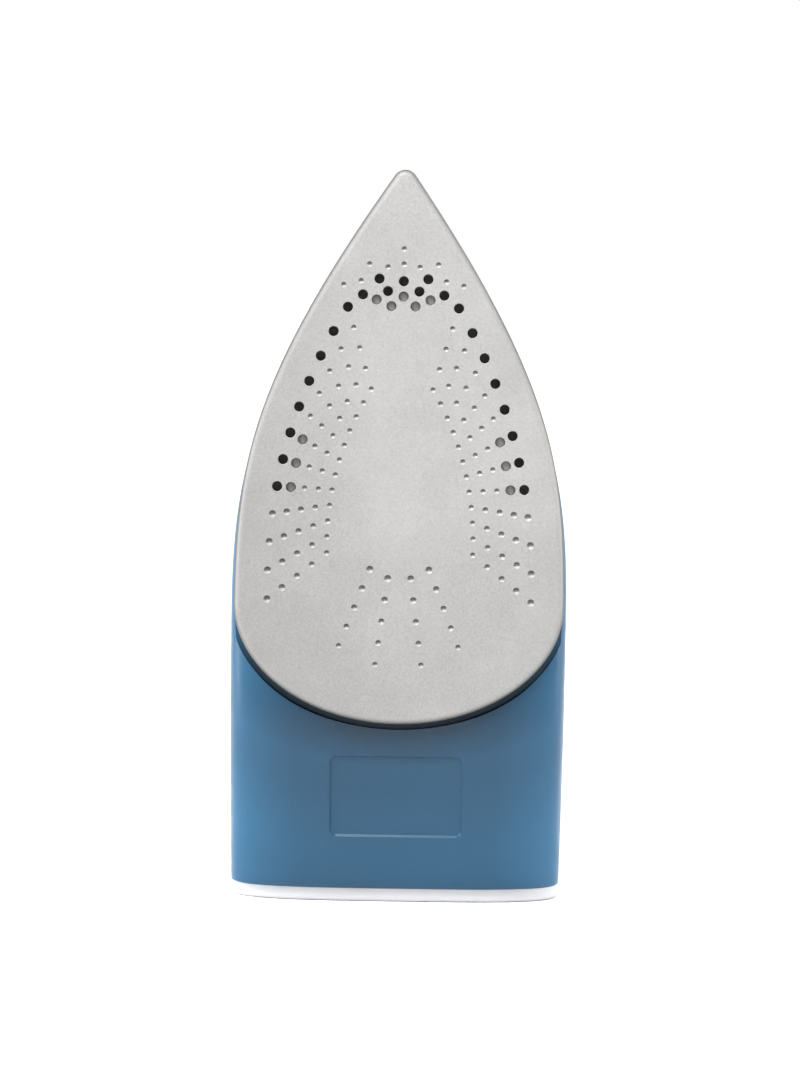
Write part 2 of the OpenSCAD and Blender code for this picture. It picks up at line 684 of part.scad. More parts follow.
terminal_x = [-13, 0, 13];
module terminal_block() color(WHITE) parked() difference() {
    translate([-20, 34, 42]) cube([40, 13, 12]);
    for (x = terminal_x) translate([x, 40.5, 47]) cylinder(r = 2.6, h = 20);
}
module terminal_screws() color(BRASS) parked() for (x = terminal_x) translate([x, 40.5, 47]) {
    difference() {
        cylinder(r = 2.5, h = 4);
        translate([-0.4, -3, 3]) cube([0.8, 6, 3]);
    }
}
module internal_wires() color(DARK) parked() {
    for (x = terminal_x) tube([[x, 32.4, 48], [x * 0.3, 29, 60], [x * 0.3, 31, 72], [x * 0.3, 44, 98]], 1.3);
    for (side = [-1, 1]) tube([[side * 13, 48.4, 48], [side * 38, 78, 40], [side * 40, 94, 30.4]], 1.3);
    tube([[0, 48.4, 48], [0, 62, 36], [-9, 76, 23.8]], 1.3);
}

soleplate();
heater_casting();
heating_element();
steam_chamber_cover();
casting_screws();
sole_gasket();
thermostat();
thermal_fuse();
skirt();
water_tank();
tank_base();
filler_flap();
flap_pin();
valve_guide();
valve_rod();
valve_seat();
steam_knob();
spray_nozzle();
spray_pipe();
rear_housing();
handle_shell();
handle_cover();
grip_insert();
steam_button();
spray_button();
steam_button_spring();
spray_button_spring();
steam_pump();
spray_pump();
pump_hoses();
pilot_lamp_lens();
pilot_lamp();
temperature_dial();
dial_shaft();
cord_collar();
cord_bush();
rear_cover();
rear_cover_screws();
terminal_block();
terminal_screws();
internal_wires();
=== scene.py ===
import json
import math

import bmesh
import bpy
import numpy as np
from mathutils import Matrix, Vector
from mathutils.bvhtree import BVHTree


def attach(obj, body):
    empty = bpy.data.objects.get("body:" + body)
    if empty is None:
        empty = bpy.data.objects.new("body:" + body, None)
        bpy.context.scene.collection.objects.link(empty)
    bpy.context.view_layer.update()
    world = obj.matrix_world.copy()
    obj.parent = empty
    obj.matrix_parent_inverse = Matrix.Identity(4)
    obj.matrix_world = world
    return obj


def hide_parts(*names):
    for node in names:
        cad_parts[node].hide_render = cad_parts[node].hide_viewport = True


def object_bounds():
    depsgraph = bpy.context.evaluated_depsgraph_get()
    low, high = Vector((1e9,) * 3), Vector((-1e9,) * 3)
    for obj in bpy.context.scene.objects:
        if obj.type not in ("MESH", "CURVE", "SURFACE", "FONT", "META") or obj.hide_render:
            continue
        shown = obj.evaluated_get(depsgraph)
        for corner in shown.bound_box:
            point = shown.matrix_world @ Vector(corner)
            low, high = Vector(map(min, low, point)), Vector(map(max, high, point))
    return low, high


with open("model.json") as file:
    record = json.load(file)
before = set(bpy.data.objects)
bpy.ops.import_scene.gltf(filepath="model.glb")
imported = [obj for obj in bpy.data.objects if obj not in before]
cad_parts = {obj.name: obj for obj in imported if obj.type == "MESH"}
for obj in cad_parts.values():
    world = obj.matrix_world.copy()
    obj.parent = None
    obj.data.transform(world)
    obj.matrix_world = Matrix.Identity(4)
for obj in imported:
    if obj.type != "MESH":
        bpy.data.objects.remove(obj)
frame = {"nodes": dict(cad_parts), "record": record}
cad_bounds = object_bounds()

# ---- The iron's design: millimetres in the ironing pose, where y runs from the heel to the tip,
# ---- z goes up from the soleplate's working face and x goes across

MM = 0.001
# The parked iron leans back by this much on its heel
LEAN = math.radians(8.5)
SOLE_W, SOLE_L, SOLE_T = 118, 198, 5
SOLE_ROUND = 2.4
NOSE_R, NOSE_A = 4.5, math.radians(34.5)
# From the tip to the soleplate's widest place
WIDEST_T = 155
VENT_R, DIMPLE_R = 1.8, 0.9
POCKET_DEPTH = 2
BODY_L, BODY_W, TIP_BACK = 265, 121, 4
DECK_Z, HEEL_Z, SKIRT_Z = 64, 32, 3.5
# The skirt's underside rises towards the heel at this angle
SLOPE = math.radians(24)
WALL = 2.5
SHELF_Z = SOLE_T + 1
WIDEST_Y = BODY_L - WIDEST_T
COVER_T = 5.5
COVER_Y = COVER_T / math.cos(LEAN)
RECESS_W, RECESS_L, RECESS_D, RECESS_Y = 48, 30, 0.5, 41
TANK_Y, DIAL_Y, VALVE_Y = 132, 104, 190
DIAL_R, KNOB_R, LENS_R = 23, 8, 2.4
DIAL_SHAFT_R, KNOB_SHAFT_R, NECK_R = 3, 2.5, 10
FILLER_Y, FILLER_W, FILLER_L = 228.5, 16, 15
COLLAR_R, WELL_R, CORD_R, BUSH_L, BALL_R = 12, 15, 3.75, 30, 9
GRIP_Z, GRIP_W, GRIP_H = 117, 17.5, 14
HINGE_Y, HINGE_Z, PIN_BORE_R = 213, 67, 1.06
NOZZLE_AT, NOZZLE_A, NOZZLE_R = (0, 244, 43.5), math.radians(20), 4
# Rounding of a shell's edge at a seam, and the weld that clears slivers after booleans
SEAM = 0.45
WELD = 0.004
# Middle of the parked iron's depth
MID_Y = 80.22
# Anything longer than the iron, for tools that cut right through
FAR = 300

# From the ironing pose in millimetres to the frame, where the iron stands on its heel
PARKED = Matrix((
    (-MM, 0, 0, 0),
    (0, MM * math.sin(LEAN), MM * math.cos(LEAN), -MM * MID_Y),
    (0, MM * math.cos(LEAN), -MM * math.sin(LEAN), MM * HEEL_Z * math.sin(LEAN)),
    (0, 0, 0, 1)))

# ---- Camera ----

scene = bpy.context.scene
CAMERA_AWAY = 1.15
CAMERA_ROLL = math.radians(0.9)
sole_normal = Vector((0, -math.cos(LEAN), math.sin(LEAN)))
aim_point = PARKED @ Vector((0, 135.3, 0))


def look(obj, target, roll=0.0):
    turn = (target - obj.location).to_track_quat("-Z", "Y").to_matrix().to_4x4()
    turn = turn @ Matrix.Rotation(roll, 4, "Z")
    obj.rotation_euler = turn.to_euler()


def added(name, data):
    obj = bpy.data.objects.new(name, data)
    scene.collection.objects.link(obj)
    return obj


camera = added("camera", bpy.data.cameras.new("camera"))
camera.data.lens = 109
camera.data.sensor_width = 36
camera.data.clip_start = 0.01
camera.location = aim_point + CAMERA_AWAY * sole_normal
look(camera, aim_point, CAMERA_ROLL)
scene.camera = camera
scene.view_settings.view_transform = "Standard"

# ---- Materials ----


class Finish:
    """A material whose textures run over the object's own coordinates, in millimetres."""

    def __init__(self, name, **sockets):
        self.material = bpy.data.materials.new(name)
        self.material.use_nodes = True
        self.tree = self.material.node_tree
        self.shader = self.tree.nodes["Principled BSDF"]
        coordinates = self.node("ShaderNodeTexCoord")
        self.place = self.node("ShaderNodeVectorMath", operation="SCALE")
        self.place.inputs["Scale"].default_value = 1 / MM
        self.link(coordinates.outputs["Object"], self.place.inputs[0])
        for socket, value in sockets.items():
            self.shader.inputs[socket.replace("_", " ")].default_value = value

    def node(self, kind, **values):
        made = self.tree.nodes.new(kind)
        for key, value in values.items():
            setattr(made, key, value)
        return made

    def link(self, a, b):
        self.tree.links.new(a, b)

    def noise(self, scale, detail=2, roughness=0.5, stretch=None):
        """Noise with about scale features to the millimetre."""
        made = self.node("ShaderNodeTexNoise")
        made.inputs["Scale"].default_value = scale
        made.inputs["Detail"].default_value = detail
        made.inputs["Roughness"].default_value = roughness
        source = self.place.outputs[0]
        if stretch:
            mapping = self.node("ShaderNodeMapping")
            mapping.inputs["Scale"].default_value = stretch
            self.link(source, mapping.inputs["Vector"])
            source = mapping.outputs["Vector"]
        self.link(source, made.inputs["Vector"])
        return made.outputs["Fac"]

    def span(self, source, low, high, from_low=0.3, from_high=0.7):
        """Runs from low to high as the source goes from from_low to from_high."""
        made = self.node("ShaderNodeMapRange")
        for key, value in (("From Min", from_low), ("From Max", from_high),
                           ("To Min", low), ("To Max", high)):
            made.inputs[key].default_value = value
        self.link(source, made.inputs["Value"])
        return made.outputs["Result"]

    def times(self, *sources, operation="MULTIPLY"):
        """The product of two or more sources."""
        result = sources[0]
        for source in sources[1:]:
            made = self.node("ShaderNodeMath", operation=operation)
            self.link(result, made.inputs[0])
            self.link(source, made.inputs[1])
            result = made.outputs[0]
        return result

    def plus(self, *sources):
        return self.times(*sources, operation="ADD")

    def colour(self, rgb, value):
        """The base colour, made lighter and darker by value, which is about 1."""
        made = self.node("ShaderNodeHueSaturation")
        made.inputs["Color"].default_value = (*rgb, 1)
        self.link(value, made.inputs["Value"])
        self.link(made.outputs["Color"], self.shader.inputs["Base Color"])
        return made

    def wear(self, from_node, rgb, strength):
        """Lightens the edges that stand out, as handling does."""
        geometry = self.node("ShaderNodeNewGeometry")
        worn = self.times(self.span(geometry.outputs["Pointiness"], 0, strength, 0.53, 0.62),
                          self.span(self.noise(0.25, 3), 0, 1, 0.4, 0.6))
        mix = self.node("ShaderNodeMix", data_type="RGBA")
        mix.inputs["B"].default_value = (*rgb, 1)
        self.link(worn, mix.inputs["Factor"])
        self.link(from_node.outputs["Color"], mix.inputs["A"])
        self.link(mix.outputs["Result"], self.shader.inputs["Base Color"])

    def openness(self, reach_mm, only_self=False):
        """How open the surroundings are within reach: 1 on open faces, near 0 in bores."""
        made = self.node("ShaderNodeAmbientOcclusion", samples=8, only_local=only_self)
        made.inputs["Distance"].default_value = reach_mm * MM
        return made.outputs["AO"]

    def along(self, direction, source=None):
        """How far a point, or a source vector, reaches along a direction."""
        made = self.node("ShaderNodeVectorMath", operation="DOT_PRODUCT")
        self.link(source or self.place.outputs[0], made.inputs[0])
        made.inputs[1].default_value = direction
        return made.outputs["Value"]

    def ellipse_out(self, centre, radii):
        """How far out a point is from an ellipsoid's centre: 1 on its surface."""
        source = self.place.outputs[0]
        for operation, value in (("SUBTRACT", centre), ("DIVIDE", radii)):
            made = self.node("ShaderNodeVectorMath", operation=operation)
            self.link(source, made.inputs[0])
            made.inputs[1].default_value = value
            source = made.outputs["Vector"]
        made = self.node("ShaderNodeVectorMath", operation="LENGTH")
        self.link(source, made.inputs[0])
        return made.outputs["Value"]

    def blend(self, factor, a, b):
        """Runs from the number a to the source b as factor goes from 0 to 1."""
        made = self.node("ShaderNodeMix", data_type="FLOAT")
        self.link(factor, made.inputs["Factor"])
        made.inputs["A"].default_value = a
        self.link(b, made.inputs["B"])
        return made.outputs["Result"]

    def rough(self, source, low, high):
        self.link(self.span(source, low, high), self.shader.inputs["Roughness"])

    def bump(self, source, depth_mm):
        made = self.node("ShaderNodeBump")
        made.inputs["Distance"].default_value = depth_mm * MM
        self.link(source, made.inputs["Height"])
        self.link(made.outputs["Normal"], self.shader.inputs["Normal"])


def skirt_painted_shade(coat, shade):
    """Painted shade for the skirt: a painted shadow below the soleplate's rear edge, painted shade
    down in the gap round it, and a painted highlight on the rounded flanks.
    """
    faces_down = coat.span(coat.along((0, -1, -0.6)), 0, 1, -20, -5)
    low_down = coat.span(coat.along((0, 0, -1)), 0.35, 1, -88, -67)
    # How far out a place is from the soleplate's round rear: 1 on the outline
    reach = coat.ellipse_out((0, 0, WIDEST_UP), (SOLE_W / 2, FLAT, SOLE_L - WIDEST_T))
    # Painted shadow of the soleplate's rear edge on the slope below it
    seam_shadow = coat.times(coat.span(reach, 0.36, 1, 1.03, 1.4), coat.span(reach, 0.77, 1, 1.6, 2.2))
    seam_shadow = coat.blend(coat.times(faces_down, low_down), 1, seam_shadow)
    # Painted shade down in the gap round the soleplate
    gap_shade = coat.span(coat.openness(14), 0.85, 1, 0.35, 0.85)
    grime = coat.times(seam_shadow, coat.blend(faces_down, 1, gap_shade))
    # Painted highlight on the rounded flanks
    flank_highlight = coat.span(coat.ellipse_out((0, 0, 0), (1, FLAT, FLAT)), 1, 1.34, 36, 54)
    return coat.times(shade, flank_highlight, grime)


def plastic(name, rgb, roughness, mottle=0.03, speckle=0.03, grain=1.6, grain_mm=0.02, worn=0,
            grime=None, **sockets):
    """Moulded plastic: faint clouding, a fine spark-eroded texture and rubbed edges, with painted
    shade and highlights where they are given.
    """
    coat = Finish(name, **sockets)
    fine = coat.noise(grain, 3, 0.6)
    shade = coat.times(coat.span(coat.noise(0.02, 3), 1 - mottle, 1 + mottle),
                       coat.span(fine, 1 - speckle, 1 + speckle))
    # Painted shade and painted highlights, for a plastic that is given them
    if grime:
        shade = grime(coat, shade)
    base = coat.colour(rgb, shade)
    if worn:
        coat.wear(base, [min(1, 1.5 * c + 0.08) for c in rgb], worn)
    vary = min(0.05, mottle)
    coat.rough(coat.noise(0.12, 4), roughness - vary, roughness + vary)
    coat.bump(fine, grain_mm)
    return coat.material


def metal(name, rgb, roughness, metallic, mottle=0.05, speckle=0.08, grain=2.2, grain_mm=0.03,
          stretch=None):
    """Metal: cast, blasted or brushed, by its grain and its stretch."""
    coat = Finish(name, Metallic=metallic)
    fine = coat.noise(grain, 3, 0.65, stretch)
    coat.colour(rgb, coat.times(coat.span(coat.noise(0.035, 5, 0.6), 1 - mottle, 1 + mottle),
                                coat.span(fine, 1 - speckle, 1 + speckle)))
    coat.rough(coat.noise(0.3, 4), roughness - 0.06, roughness + 0.08)
    coat.bump(fine, grain_mm)
    return coat.material


def blasted_sole():
    """Sandblasted aluminium: a bright speckle and cloudy handling marks, with painted shade in the
    vents, on the rim, the left side and the rear, and painted shade and highlights in the dimples.
    """
    coat = Finish("soleplate_alloy", Metallic=0.25)
    clouds = coat.noise(0.03, 5, 0.62)
    patches = coat.noise(0.011, 2)
    speck = coat.noise(1.3, 4, 0.7)
    pits = coat.noise(3.2, 2, 0.6)
    # Painted shade down the vents, and in each dimple painted shade on the upper edge and a painted
    # highlight on the lower one, as light from above would fall
    open_face = coat.openness(3.5, only_self=True)
    normal = coat.node("ShaderNodeNewGeometry").outputs["Normal"]
    lift = coat.along((0, 0, 1), normal)
    painted_crescent = coat.times(coat.span(lift, 0.4, 1, -0.45, 0.06), coat.span(lift, 1, 2.3, 0.2, 0.6))
    painted_crescent = coat.blend(coat.span(open_face, 1, 0, 0.8, 0.96), 1, painted_crescent)
    # Painted shade where the face rolls over into its rim
    rim = coat.span(coat.along(sole_normal, normal), 0.28, 1, 0.5, 0.993)
    rim = coat.blend(coat.span(open_face, 0, 1, 0.8, 0.97), 1, rim)
    # Painted shade: the left side and the rear are a little darker than the rest
    left = coat.span(coat.along((1, 0, 0)), 0.82, 1.02, 1 - SOLE_W / 2, -8)
    rear = coat.span(coat.along((0, 0, 1)), 0.9, 1, 80, 140)
    coat.colour(SOLE_RGB, coat.times(
        coat.span(clouds, 0.92, 1.06), coat.span(patches, 0.96, 1.03),
        coat.span(speck, 0.89, 1.11, 0.35, 0.65), coat.span(pits, 0.97, 1.03),
        coat.span(open_face, 0.05, 1, 0.14, 0.45), painted_crescent, rim, left, rear))
    coat.rough(speck, 0.46, 0.62)
    coat.bump(coat.plus(coat.span(speck, 0, 0.6), coat.span(pits, 0, 0.4)), 0.035)
    return coat.material


def clear_plastic(name, rgb, roughness):
    """Tinted clear plastic, a little cloudy, with fine scratches in its gloss."""
    coat = Finish(name, IOR=1.49, Transmission_Weight=0.92)
    coat.colour(rgb, coat.span(coat.noise(0.02, 3), 0.96, 1.03))
    coat.rough(coat.noise(0.5, 5, 0.7, (1, 0.2, 0.2)), roughness, roughness + 0.1)
    coat.bump(coat.noise(0.05, 2), 0.05)
    return coat.material


# Height of the soleplate's widest place on the parked iron
WIDEST_UP = WIDEST_Y * math.cos(LEAN) + HEEL_Z * math.sin(LEAN)
# A radius so long that distance along that axis doesn't count
FLAT = 1e6
SOLE_RGB = (0.249, 0.247, 0.241)
METALS = {
    "cast_alloy": dict(rgb=(0.13, 0.128, 0.122), roughness=0.65, metallic=0.5, mottle=0.12,
                       speckle=0.16, grain=0.9, grain_mm=0.12),
    "element_sheath": dict(rgb=(0.09, 0.09, 0.095), roughness=0.5, metallic=0.5, mottle=0.1,
                           speckle=0.1),
    "pressed_steel": dict(rgb=(0.42, 0.425, 0.43), roughness=0.34, metallic=1, grain=1.4,
                          grain_mm=0.01, stretch=(1, 0.08, 1)),
    "brass": dict(rgb=(0.55, 0.38, 0.13), roughness=0.36, metallic=1, mottle=0.06, speckle=0.06,
                  grain=1.4, grain_mm=0.01, stretch=(1, 0.1, 1)),
}
PLASTICS = {
    "silicone": dict(rgb=(0.004, 0.009, 0.016), roughness=0.75, mottle=0.08, speckle=0.05,
                     Specular_IOR_Level=0.15),
    "ceramic_white": dict(rgb=(0.62, 0.61, 0.57), roughness=0.55, speckle=0.04, grain=1.2,
                          grain_mm=0.03),
    # The blue plastic carries painted shade round the soleplate and painted highlights on its
    # flanks
    "blue_plastic": dict(rgb=(0.0105, 0.057, 0.112), roughness=0.34, mottle=0.05, speckle=0.035,
                         grain=1.5, grain_mm=0.012, grime=skirt_painted_shade, Specular_IOR_Level=0.27),
    "white_plastic": dict(rgb=(0.445, 0.446, 0.458), roughness=0.3, mottle=0.015, speckle=0.015,
                          grain=1.2, grain_mm=0.006),
    "grey_plastic": dict(rgb=(0.095, 0.11, 0.128), roughness=0.42, mottle=0.04, speckle=0.05,
                         worn=0.3),
    "grip_rubber": dict(rgb=(0.025, 0.03, 0.037), roughness=0.62, mottle=0.06, speckle=0.06,
                        grain=1.1, grain_mm=0.05),
    "hose_rubber": dict(rgb=(0.5, 0.5, 0.47), roughness=0.4, mottle=0.04),
    "bush_rubber": dict(rgb=(0.02, 0.022, 0.025), roughness=0.55, mottle=0.06, speckle=0.06,
                        grain=1.3, grain_mm=0.03),
    "wire_insulation": dict(rgb=(0.05, 0.05, 0.055), roughness=0.45, mottle=0.05, speckle=0.04),
}
CLEARS = {
    "tank_plastic": dict(rgb=(0.42, 0.66, 0.86), roughness=0.06),
    "lamp_lens": dict(rgb=(0.9, 0.22, 0.05), roughness=0.12),
    "lamp_glass": dict(rgb=(0.95, 0.75, 0.5), roughness=0.05),
}
finishes = {"soleplate_alloy": blasted_sole()}
for make, table in ((metal, METALS), (plastic, PLASTICS), (clear_plastic, CLEARS)):
    finishes.update({name: make(name, **values) for name, values in table.items()})

# Every CAD node takes its slot's finish; the pieces made below stand in for some of them
for part in frame["record"]["subparts"]:
    node = frame["nodes"][part["node"]]
    node.data.materials.clear()
    node.data.materials.append(finishes[part["material_slot"]])

# ---- Mesh tools ----


def lerp(a, b, k):
    return a + (b - a) * k


def mesh_of(vertices, faces):
    """A mesh with its faces turned outwards."""
    mesh = bpy.data.meshes.new("mesh")
    mesh.from_pydata([tuple(v) for v in vertices], [], faces)
    work = bmesh.new()
    work.from_mesh(mesh)
    bmesh.ops.recalc_face_normals(work, faces=work.faces)
    if work.calc_volume(signed=True) < 0:
        bmesh.ops.reverse_faces(work, faces=work.faces)
    work.to_mesh(mesh)
    work.free()
    return mesh


def loft(rings):
    """Skins a row of closed rings that have the same number of points, and caps the ends."""
    rings = np.array(rings, float)
    m, n = rings.shape[:2]
    faces = [(i * n + j, i * n + (j + 1) % n, (i + 1) * n + (j + 1) % n, (i + 1) * n + j)
             for i in range(m - 1) for j in range(n)]
    faces += [tuple(range(n)), tuple((m - 1) * n + j for j in range(n))]
    return mesh_of(rings.reshape(-1, 3), faces)


def prism(outline, low, high):
    """An upright prism on an outline of (x, y) points."""
    return loft([[(x, y, z) for x, y in outline] for z in (low, high)])


def lathe(profile, steps=96, wave=lambda angle, radius: radius):
    """Turns (radius, height) points round z. wave may change the radius with the angle."""
    angles = [math.tau * j / steps for j in range(steps)]
    return loft([[(wave(a, r) * math.cos(a), wave(a, r) * math.sin(a), h) for a in angles]
                 for r, h in profile])


def cylinder(r, low, high, steps):
    return lathe([(r, low), (r, high)], steps)


def joined(meshes):
    work = bmesh.new()
    for mesh in meshes:
        work.from_mesh(mesh)
    out = bpy.data.meshes.new("joined")
    work.to_mesh(out)
    work.free()
    return out


def moved(mesh, matrix):
    mesh.transform(matrix)
    return mesh


def boolean(mesh, tool, operation="DIFFERENCE"):
    """One exact boolean of two closed meshes."""
    objects = [added("work", m) for m in (mesh, tool)]
    step = objects[0].modifiers.new("step", "BOOLEAN")
    step.object = objects[1]
    step.operation = operation
    step.solver = "EXACT"
    depsgraph = bpy.context.evaluated_depsgraph_get()
    out = bpy.data.meshes.new_from_object(objects[0].evaluated_get(depsgraph))
    for obj in objects:
        bpy.data.objects.remove(obj)
    return out


def without_slivers(mesh):
    """Clears the hair-thin faces and the needless corners that booleans leave."""
    work = bmesh.new()
    work.from_mesh(mesh)
    bmesh.ops.remove_doubles(work, verts=work.verts, dist=WELD)
    bmesh.ops.dissolve_degenerate(work, edges=work.edges, dist=WELD)
    straight = [v for v in work.verts if len(v.link_edges) == 2 and v.calc_edge_angle(1) < 0.05]
    bmesh.ops.dissolve_verts(work, verts=straight)
    work.to_mesh(mesh)
    work.free()


def piece(name, mesh, body, slot, node_name, crease=35):
    """Stands a finished mesh in the frame, as the piece that replaces the node."""
    without_slivers(mesh)
    mesh.transform(PARKED)
    mesh.name = name
    mesh.materials.clear()
    mesh.materials.append(finishes[slot])
    mesh.polygons.foreach_set("material_index", [0] * len(mesh.polygons))
    mesh.polygons.foreach_set("use_smooth", [True] * len(mesh.polygons))
    mesh.set_sharp_from_angle(angle=math.radians(crease))
    obj = added(name, mesh)
    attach(obj, body)
    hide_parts(node_name)


# ---- Plan outline of the soleplate ----


def bezier(p, k):
    p = np.array(p, float)
    return ((1 - k) ** 3 * p[0] + 3 * k * (1 - k) ** 2 * p[1] + 3 * k * k * (1 - k) * p[2]
            + k ** 3 * p[3])


def nose_point(a):
    """(half width, distance from the tip) on the round of the nose."""
    return NOSE_R * np.array([math.cos(a), 1 - math.sin(a)])


nose_start = nose_point(NOSE_A)
nose_end = np.array([SOLE_W / 2, WIDEST_T])
nose_curve = [nose_start, nose_start + 88 * np.array([math.sin(NOSE_A), math.cos(NOSE_A)]),
              nose_end - [0, 50], nose_end]


def inset_ring(ring, inset):
    """Moves a closed outline inwards all round."""
    ahead = np.roll(ring, -1, 0)
    along = ahead - np.roll(ring, 1, 0)
    along /= np.linalg.norm(along, axis=1)[:, None]
    turn = np.sign(np.sum(ring[:, 0] * ahead[:, 1] - ring[:, 1] * ahead[:, 0]))
    return ring + turn * inset * np.column_stack([-along[:, 1], along[:, 0]])


def both_sides(half):
    """Closes an outline's right half, whose ends lie on the middle line."""
    return np.vstack([half, half[-2:0:-1] * [-1, 1]])


def sole_ring(inset, z):
    """The soleplate's outline, moved inwards by inset, at height z."""
    half = [nose_point(a) for a in np.linspace(math.pi / 2, NOSE_A, 15)[:-1]]
    half += [bezier(nose_curve, k) for k in np.linspace(0, 1, 61)]
    half += [(SOLE_W / 2 * math.cos(a), WIDEST_T + (SOLE_L - WIDEST_T) * math.sin(a))
             for a in np.linspace(0, math.pi / 2, 49)[1:]]
    ring = inset_ring(both_sides(np.array(half) * [1, -1] + [0, BODY_L]), inset)
    return np.column_stack([ring, np.full(len(ring), z)])


# ---- Soleplate ----


def hole(x, y, r, depth):
    """A drilled hole with a broken edge."""
    lip = 0.18
    profile = [(r + lip, -0.5), (r + lip, -0.02), (r + 0.3 * lip, 0.3 * lip), (r, lip),
               (r, depth)]
    return moved(lathe(profile, 24), Matrix.Translation((x, y, 0)))


def dimple(x, y, r):
    """A ball-ended dimple with a broken edge."""
    bowl = [(r * math.cos(a), r * math.sin(a) * 1.1) for a in np.radians([8, 25, 42, 58, 72])]
    profile = [(r + 0.12, -0.5), (r + 0.12, -0.02)] + bowl + [(0.08 * r, 1.1 * r)]
    return moved(lathe(profile, 20), Matrix.Translation((x, y, 0)))


# Rows of holes fan out between two curves, measured from the middle and from the tip
OUTER_CURVE = [[19.8, 49.4], [38.87, 81.1], [47.93, 115.9], [47, 153.9]]
INNER_CURVE = [[11, 78.6], [21.6, 96.53], [26.6, 116.07], [26, 137.2]]
HOLE_ROWS, HOLE_COLUMNS, VENT_ROWS, POCKET_ROWS = 12, 5, 8, (5, 6, 7)


def sole_holes():
    """Vents go through, pockets are blind and dimples are shallow; most come in pairs."""
    through, shallow = SOLE_T + 1, 0
    pairs = []
    for row in range(HOLE_ROWS):
        k = row / (HOLE_ROWS - 1)
        for i in range(HOLE_COLUMNS):
            share = i / (HOLE_COLUMNS - 1)
            x, t = lerp(bezier(OUTER_CURVE, k), bezier(INNER_CURVE, k), share)
            if i == 0 and row < VENT_ROWS:
                pairs.append((x, t, VENT_R, through))
            elif i == 1 and row in POCKET_ROWS:
                pairs.append((x, t, VENT_R, POCKET_DEPTH))
            else:
                r = DIMPLE_R if row < VENT_ROWS else lerp(DIMPLE_R + 0.3, DIMPLE_R, share)
                pairs.append((x, t, r, shallow))
    # The crescent of holes at the front
    pairs += [(x, t, DIMPLE_R, shallow)
              for x, t in ((12.3, 34), (5.7, 35), (15.2, 40), (21.4, 41.5))]
    pairs += [(x, t, VENT_R, through) for x, t in ((8.7, 39.2), (5.6, 43.6), (14.5, 44.9))]
    pairs += [(x, t, VENT_R, POCKET_DEPTH) for x, t in ((9.6, 46.7), (4.3, 49))]
    # Two lines of dimples that spread towards the rear
    for i in range(HOLE_COLUMNS):
        share = i / (HOLE_COLUMNS - 1)
        r = lerp(DIMPLE_R + 0.3, DIMPLE_R, share)
        pairs.append((lerp(4.1, 8.2, share), lerp(146, 176.7, share), r, shallow))
        pairs.append((lerp(10.5, 21.3, share), lerp(142.8, 170.2, share), r, shallow))
    middle = [(0, 28.5, DIMPLE_R, shallow), (0, 33.9, DIMPLE_R, shallow),
              (0, 40, VENT_R, through), (0, 45.5, VENT_R, POCKET_DEPTH)]
    every = pairs + [(-x, t, r, depth) for x, t, r, depth in pairs] + middle
    return joined([hole(x, BODY_L - t, r, depth) if depth else dimple(x, BODY_L - t, r)
                   for x, t, r, depth in every])


def soleplate():
    r = SOLE_ROUND
    profile = [(r + 0.5, 0), (r, 0)]
    profile += [(r - r * math.sin(a), r - r * math.cos(a)) for a in np.radians(range(12, 91, 13))]
    profile += [(0, SOLE_T - 0.3), (0.3, SOLE_T), (2, SOLE_T)]
    plate = loft([sole_ring(inset, z) for inset, z in profile])
    return boolean(plate, sole_holes())


piece("soleplate_blasted", soleplate(), "iron", "soleplate_alloy", "soleplate", 28)

# ---- Body sections ----

# The skirt's slope, the level deck, and the fall from the deck's end to the nose
SLOPE_L, DECK_L, NOSE_FALL, NOSE_Z = 64, 200, 62.5, 26
UPPER_STEPS, LOWER_STEPS = 40, 26


def soft_rise(v, soft):
    """v above 0 and 0 below it, with a soft bend between."""
    return (v + math.sqrt(v * v + soft * soft)) / 2


def underside(y):
    """Height of the skirt's underside on the middle line, which rises towards the heel."""
    rise = SLOPE_L * math.tan(SLOPE)
    return SKIRT_Z + soft_rise(rise - y * math.tan(SLOPE), 4) * (HEEL_Z - SKIRT_Z) / rise


def split(y):
    """Height of the seam between the skirt and the upper shells."""
    return 20 + 20 * max(0, 1 - y / 200) ** 1.6 + 8 * max(0, 1 - y / 100) ** 2


def top(y):
    """Height of the body on the middle line: a level deck, then a round fall to the nose."""
    if y < DECK_L:
        return DECK_Z
    return NOSE_Z + (DECK_Z - NOSE_Z) * math.sqrt(max(0, 1 - ((y - DECK_L) / NOSE_FALL) ** 2))


def lower_squareness(y):
    return lerp(3.5, 8, min(1, y / WIDEST_Y))


def upper_squareness(y):
    return lerp(3, 2.3, y / BODY_L)


def leaning(y, z):
    """Leans the sections back towards the heel, until they lie in its plane."""
    fade = ((WIDEST_Y - y) / (WIDEST_Y - COVER_Y)) ** 2 if y < WIDEST_Y else 0
    return y + (z - HEEL_Z) * math.tan(LEAN) * fade


def evenly(x, z, steps):
    """Cuts a curve through many points into even steps."""
    run = np.concatenate([[0], np.cumsum(np.hypot(np.diff(x), np.diff(z)))])
    at = np.linspace(0, run[-1], steps + 1)
    return np.column_stack([np.interp(at, run, x), np.interp(at, run, z)])


def oval_side(w, h, n, steps):
    """A quarter of a squared oval, from (w, 0) to (0, h)."""
    a = np.linspace(0, math.pi / 2, 600)
    return evenly(w * np.cos(a) ** (2 / n), h * np.sin(a) ** (2 / n), steps)


def body_stations(count=70):
    """[distance from the heel, half width] from the skirt's rear end to the nose."""
    back = [(y, BODY_W / 2) for y in np.linspace(COVER_Y, WIDEST_Y - TIP_BACK, 60)[:-1]]
    front = [bezier(nose_curve, k) for k in np.linspace(1, 0, count)]
    tip = [nose_point(a) for a in np.linspace(NOSE_A, math.radians(78), 7)[1:]]
    return back + [(BODY_L - TIP_BACK - t, x * BODY_W / SOLE_W) for x, t in front + tip]


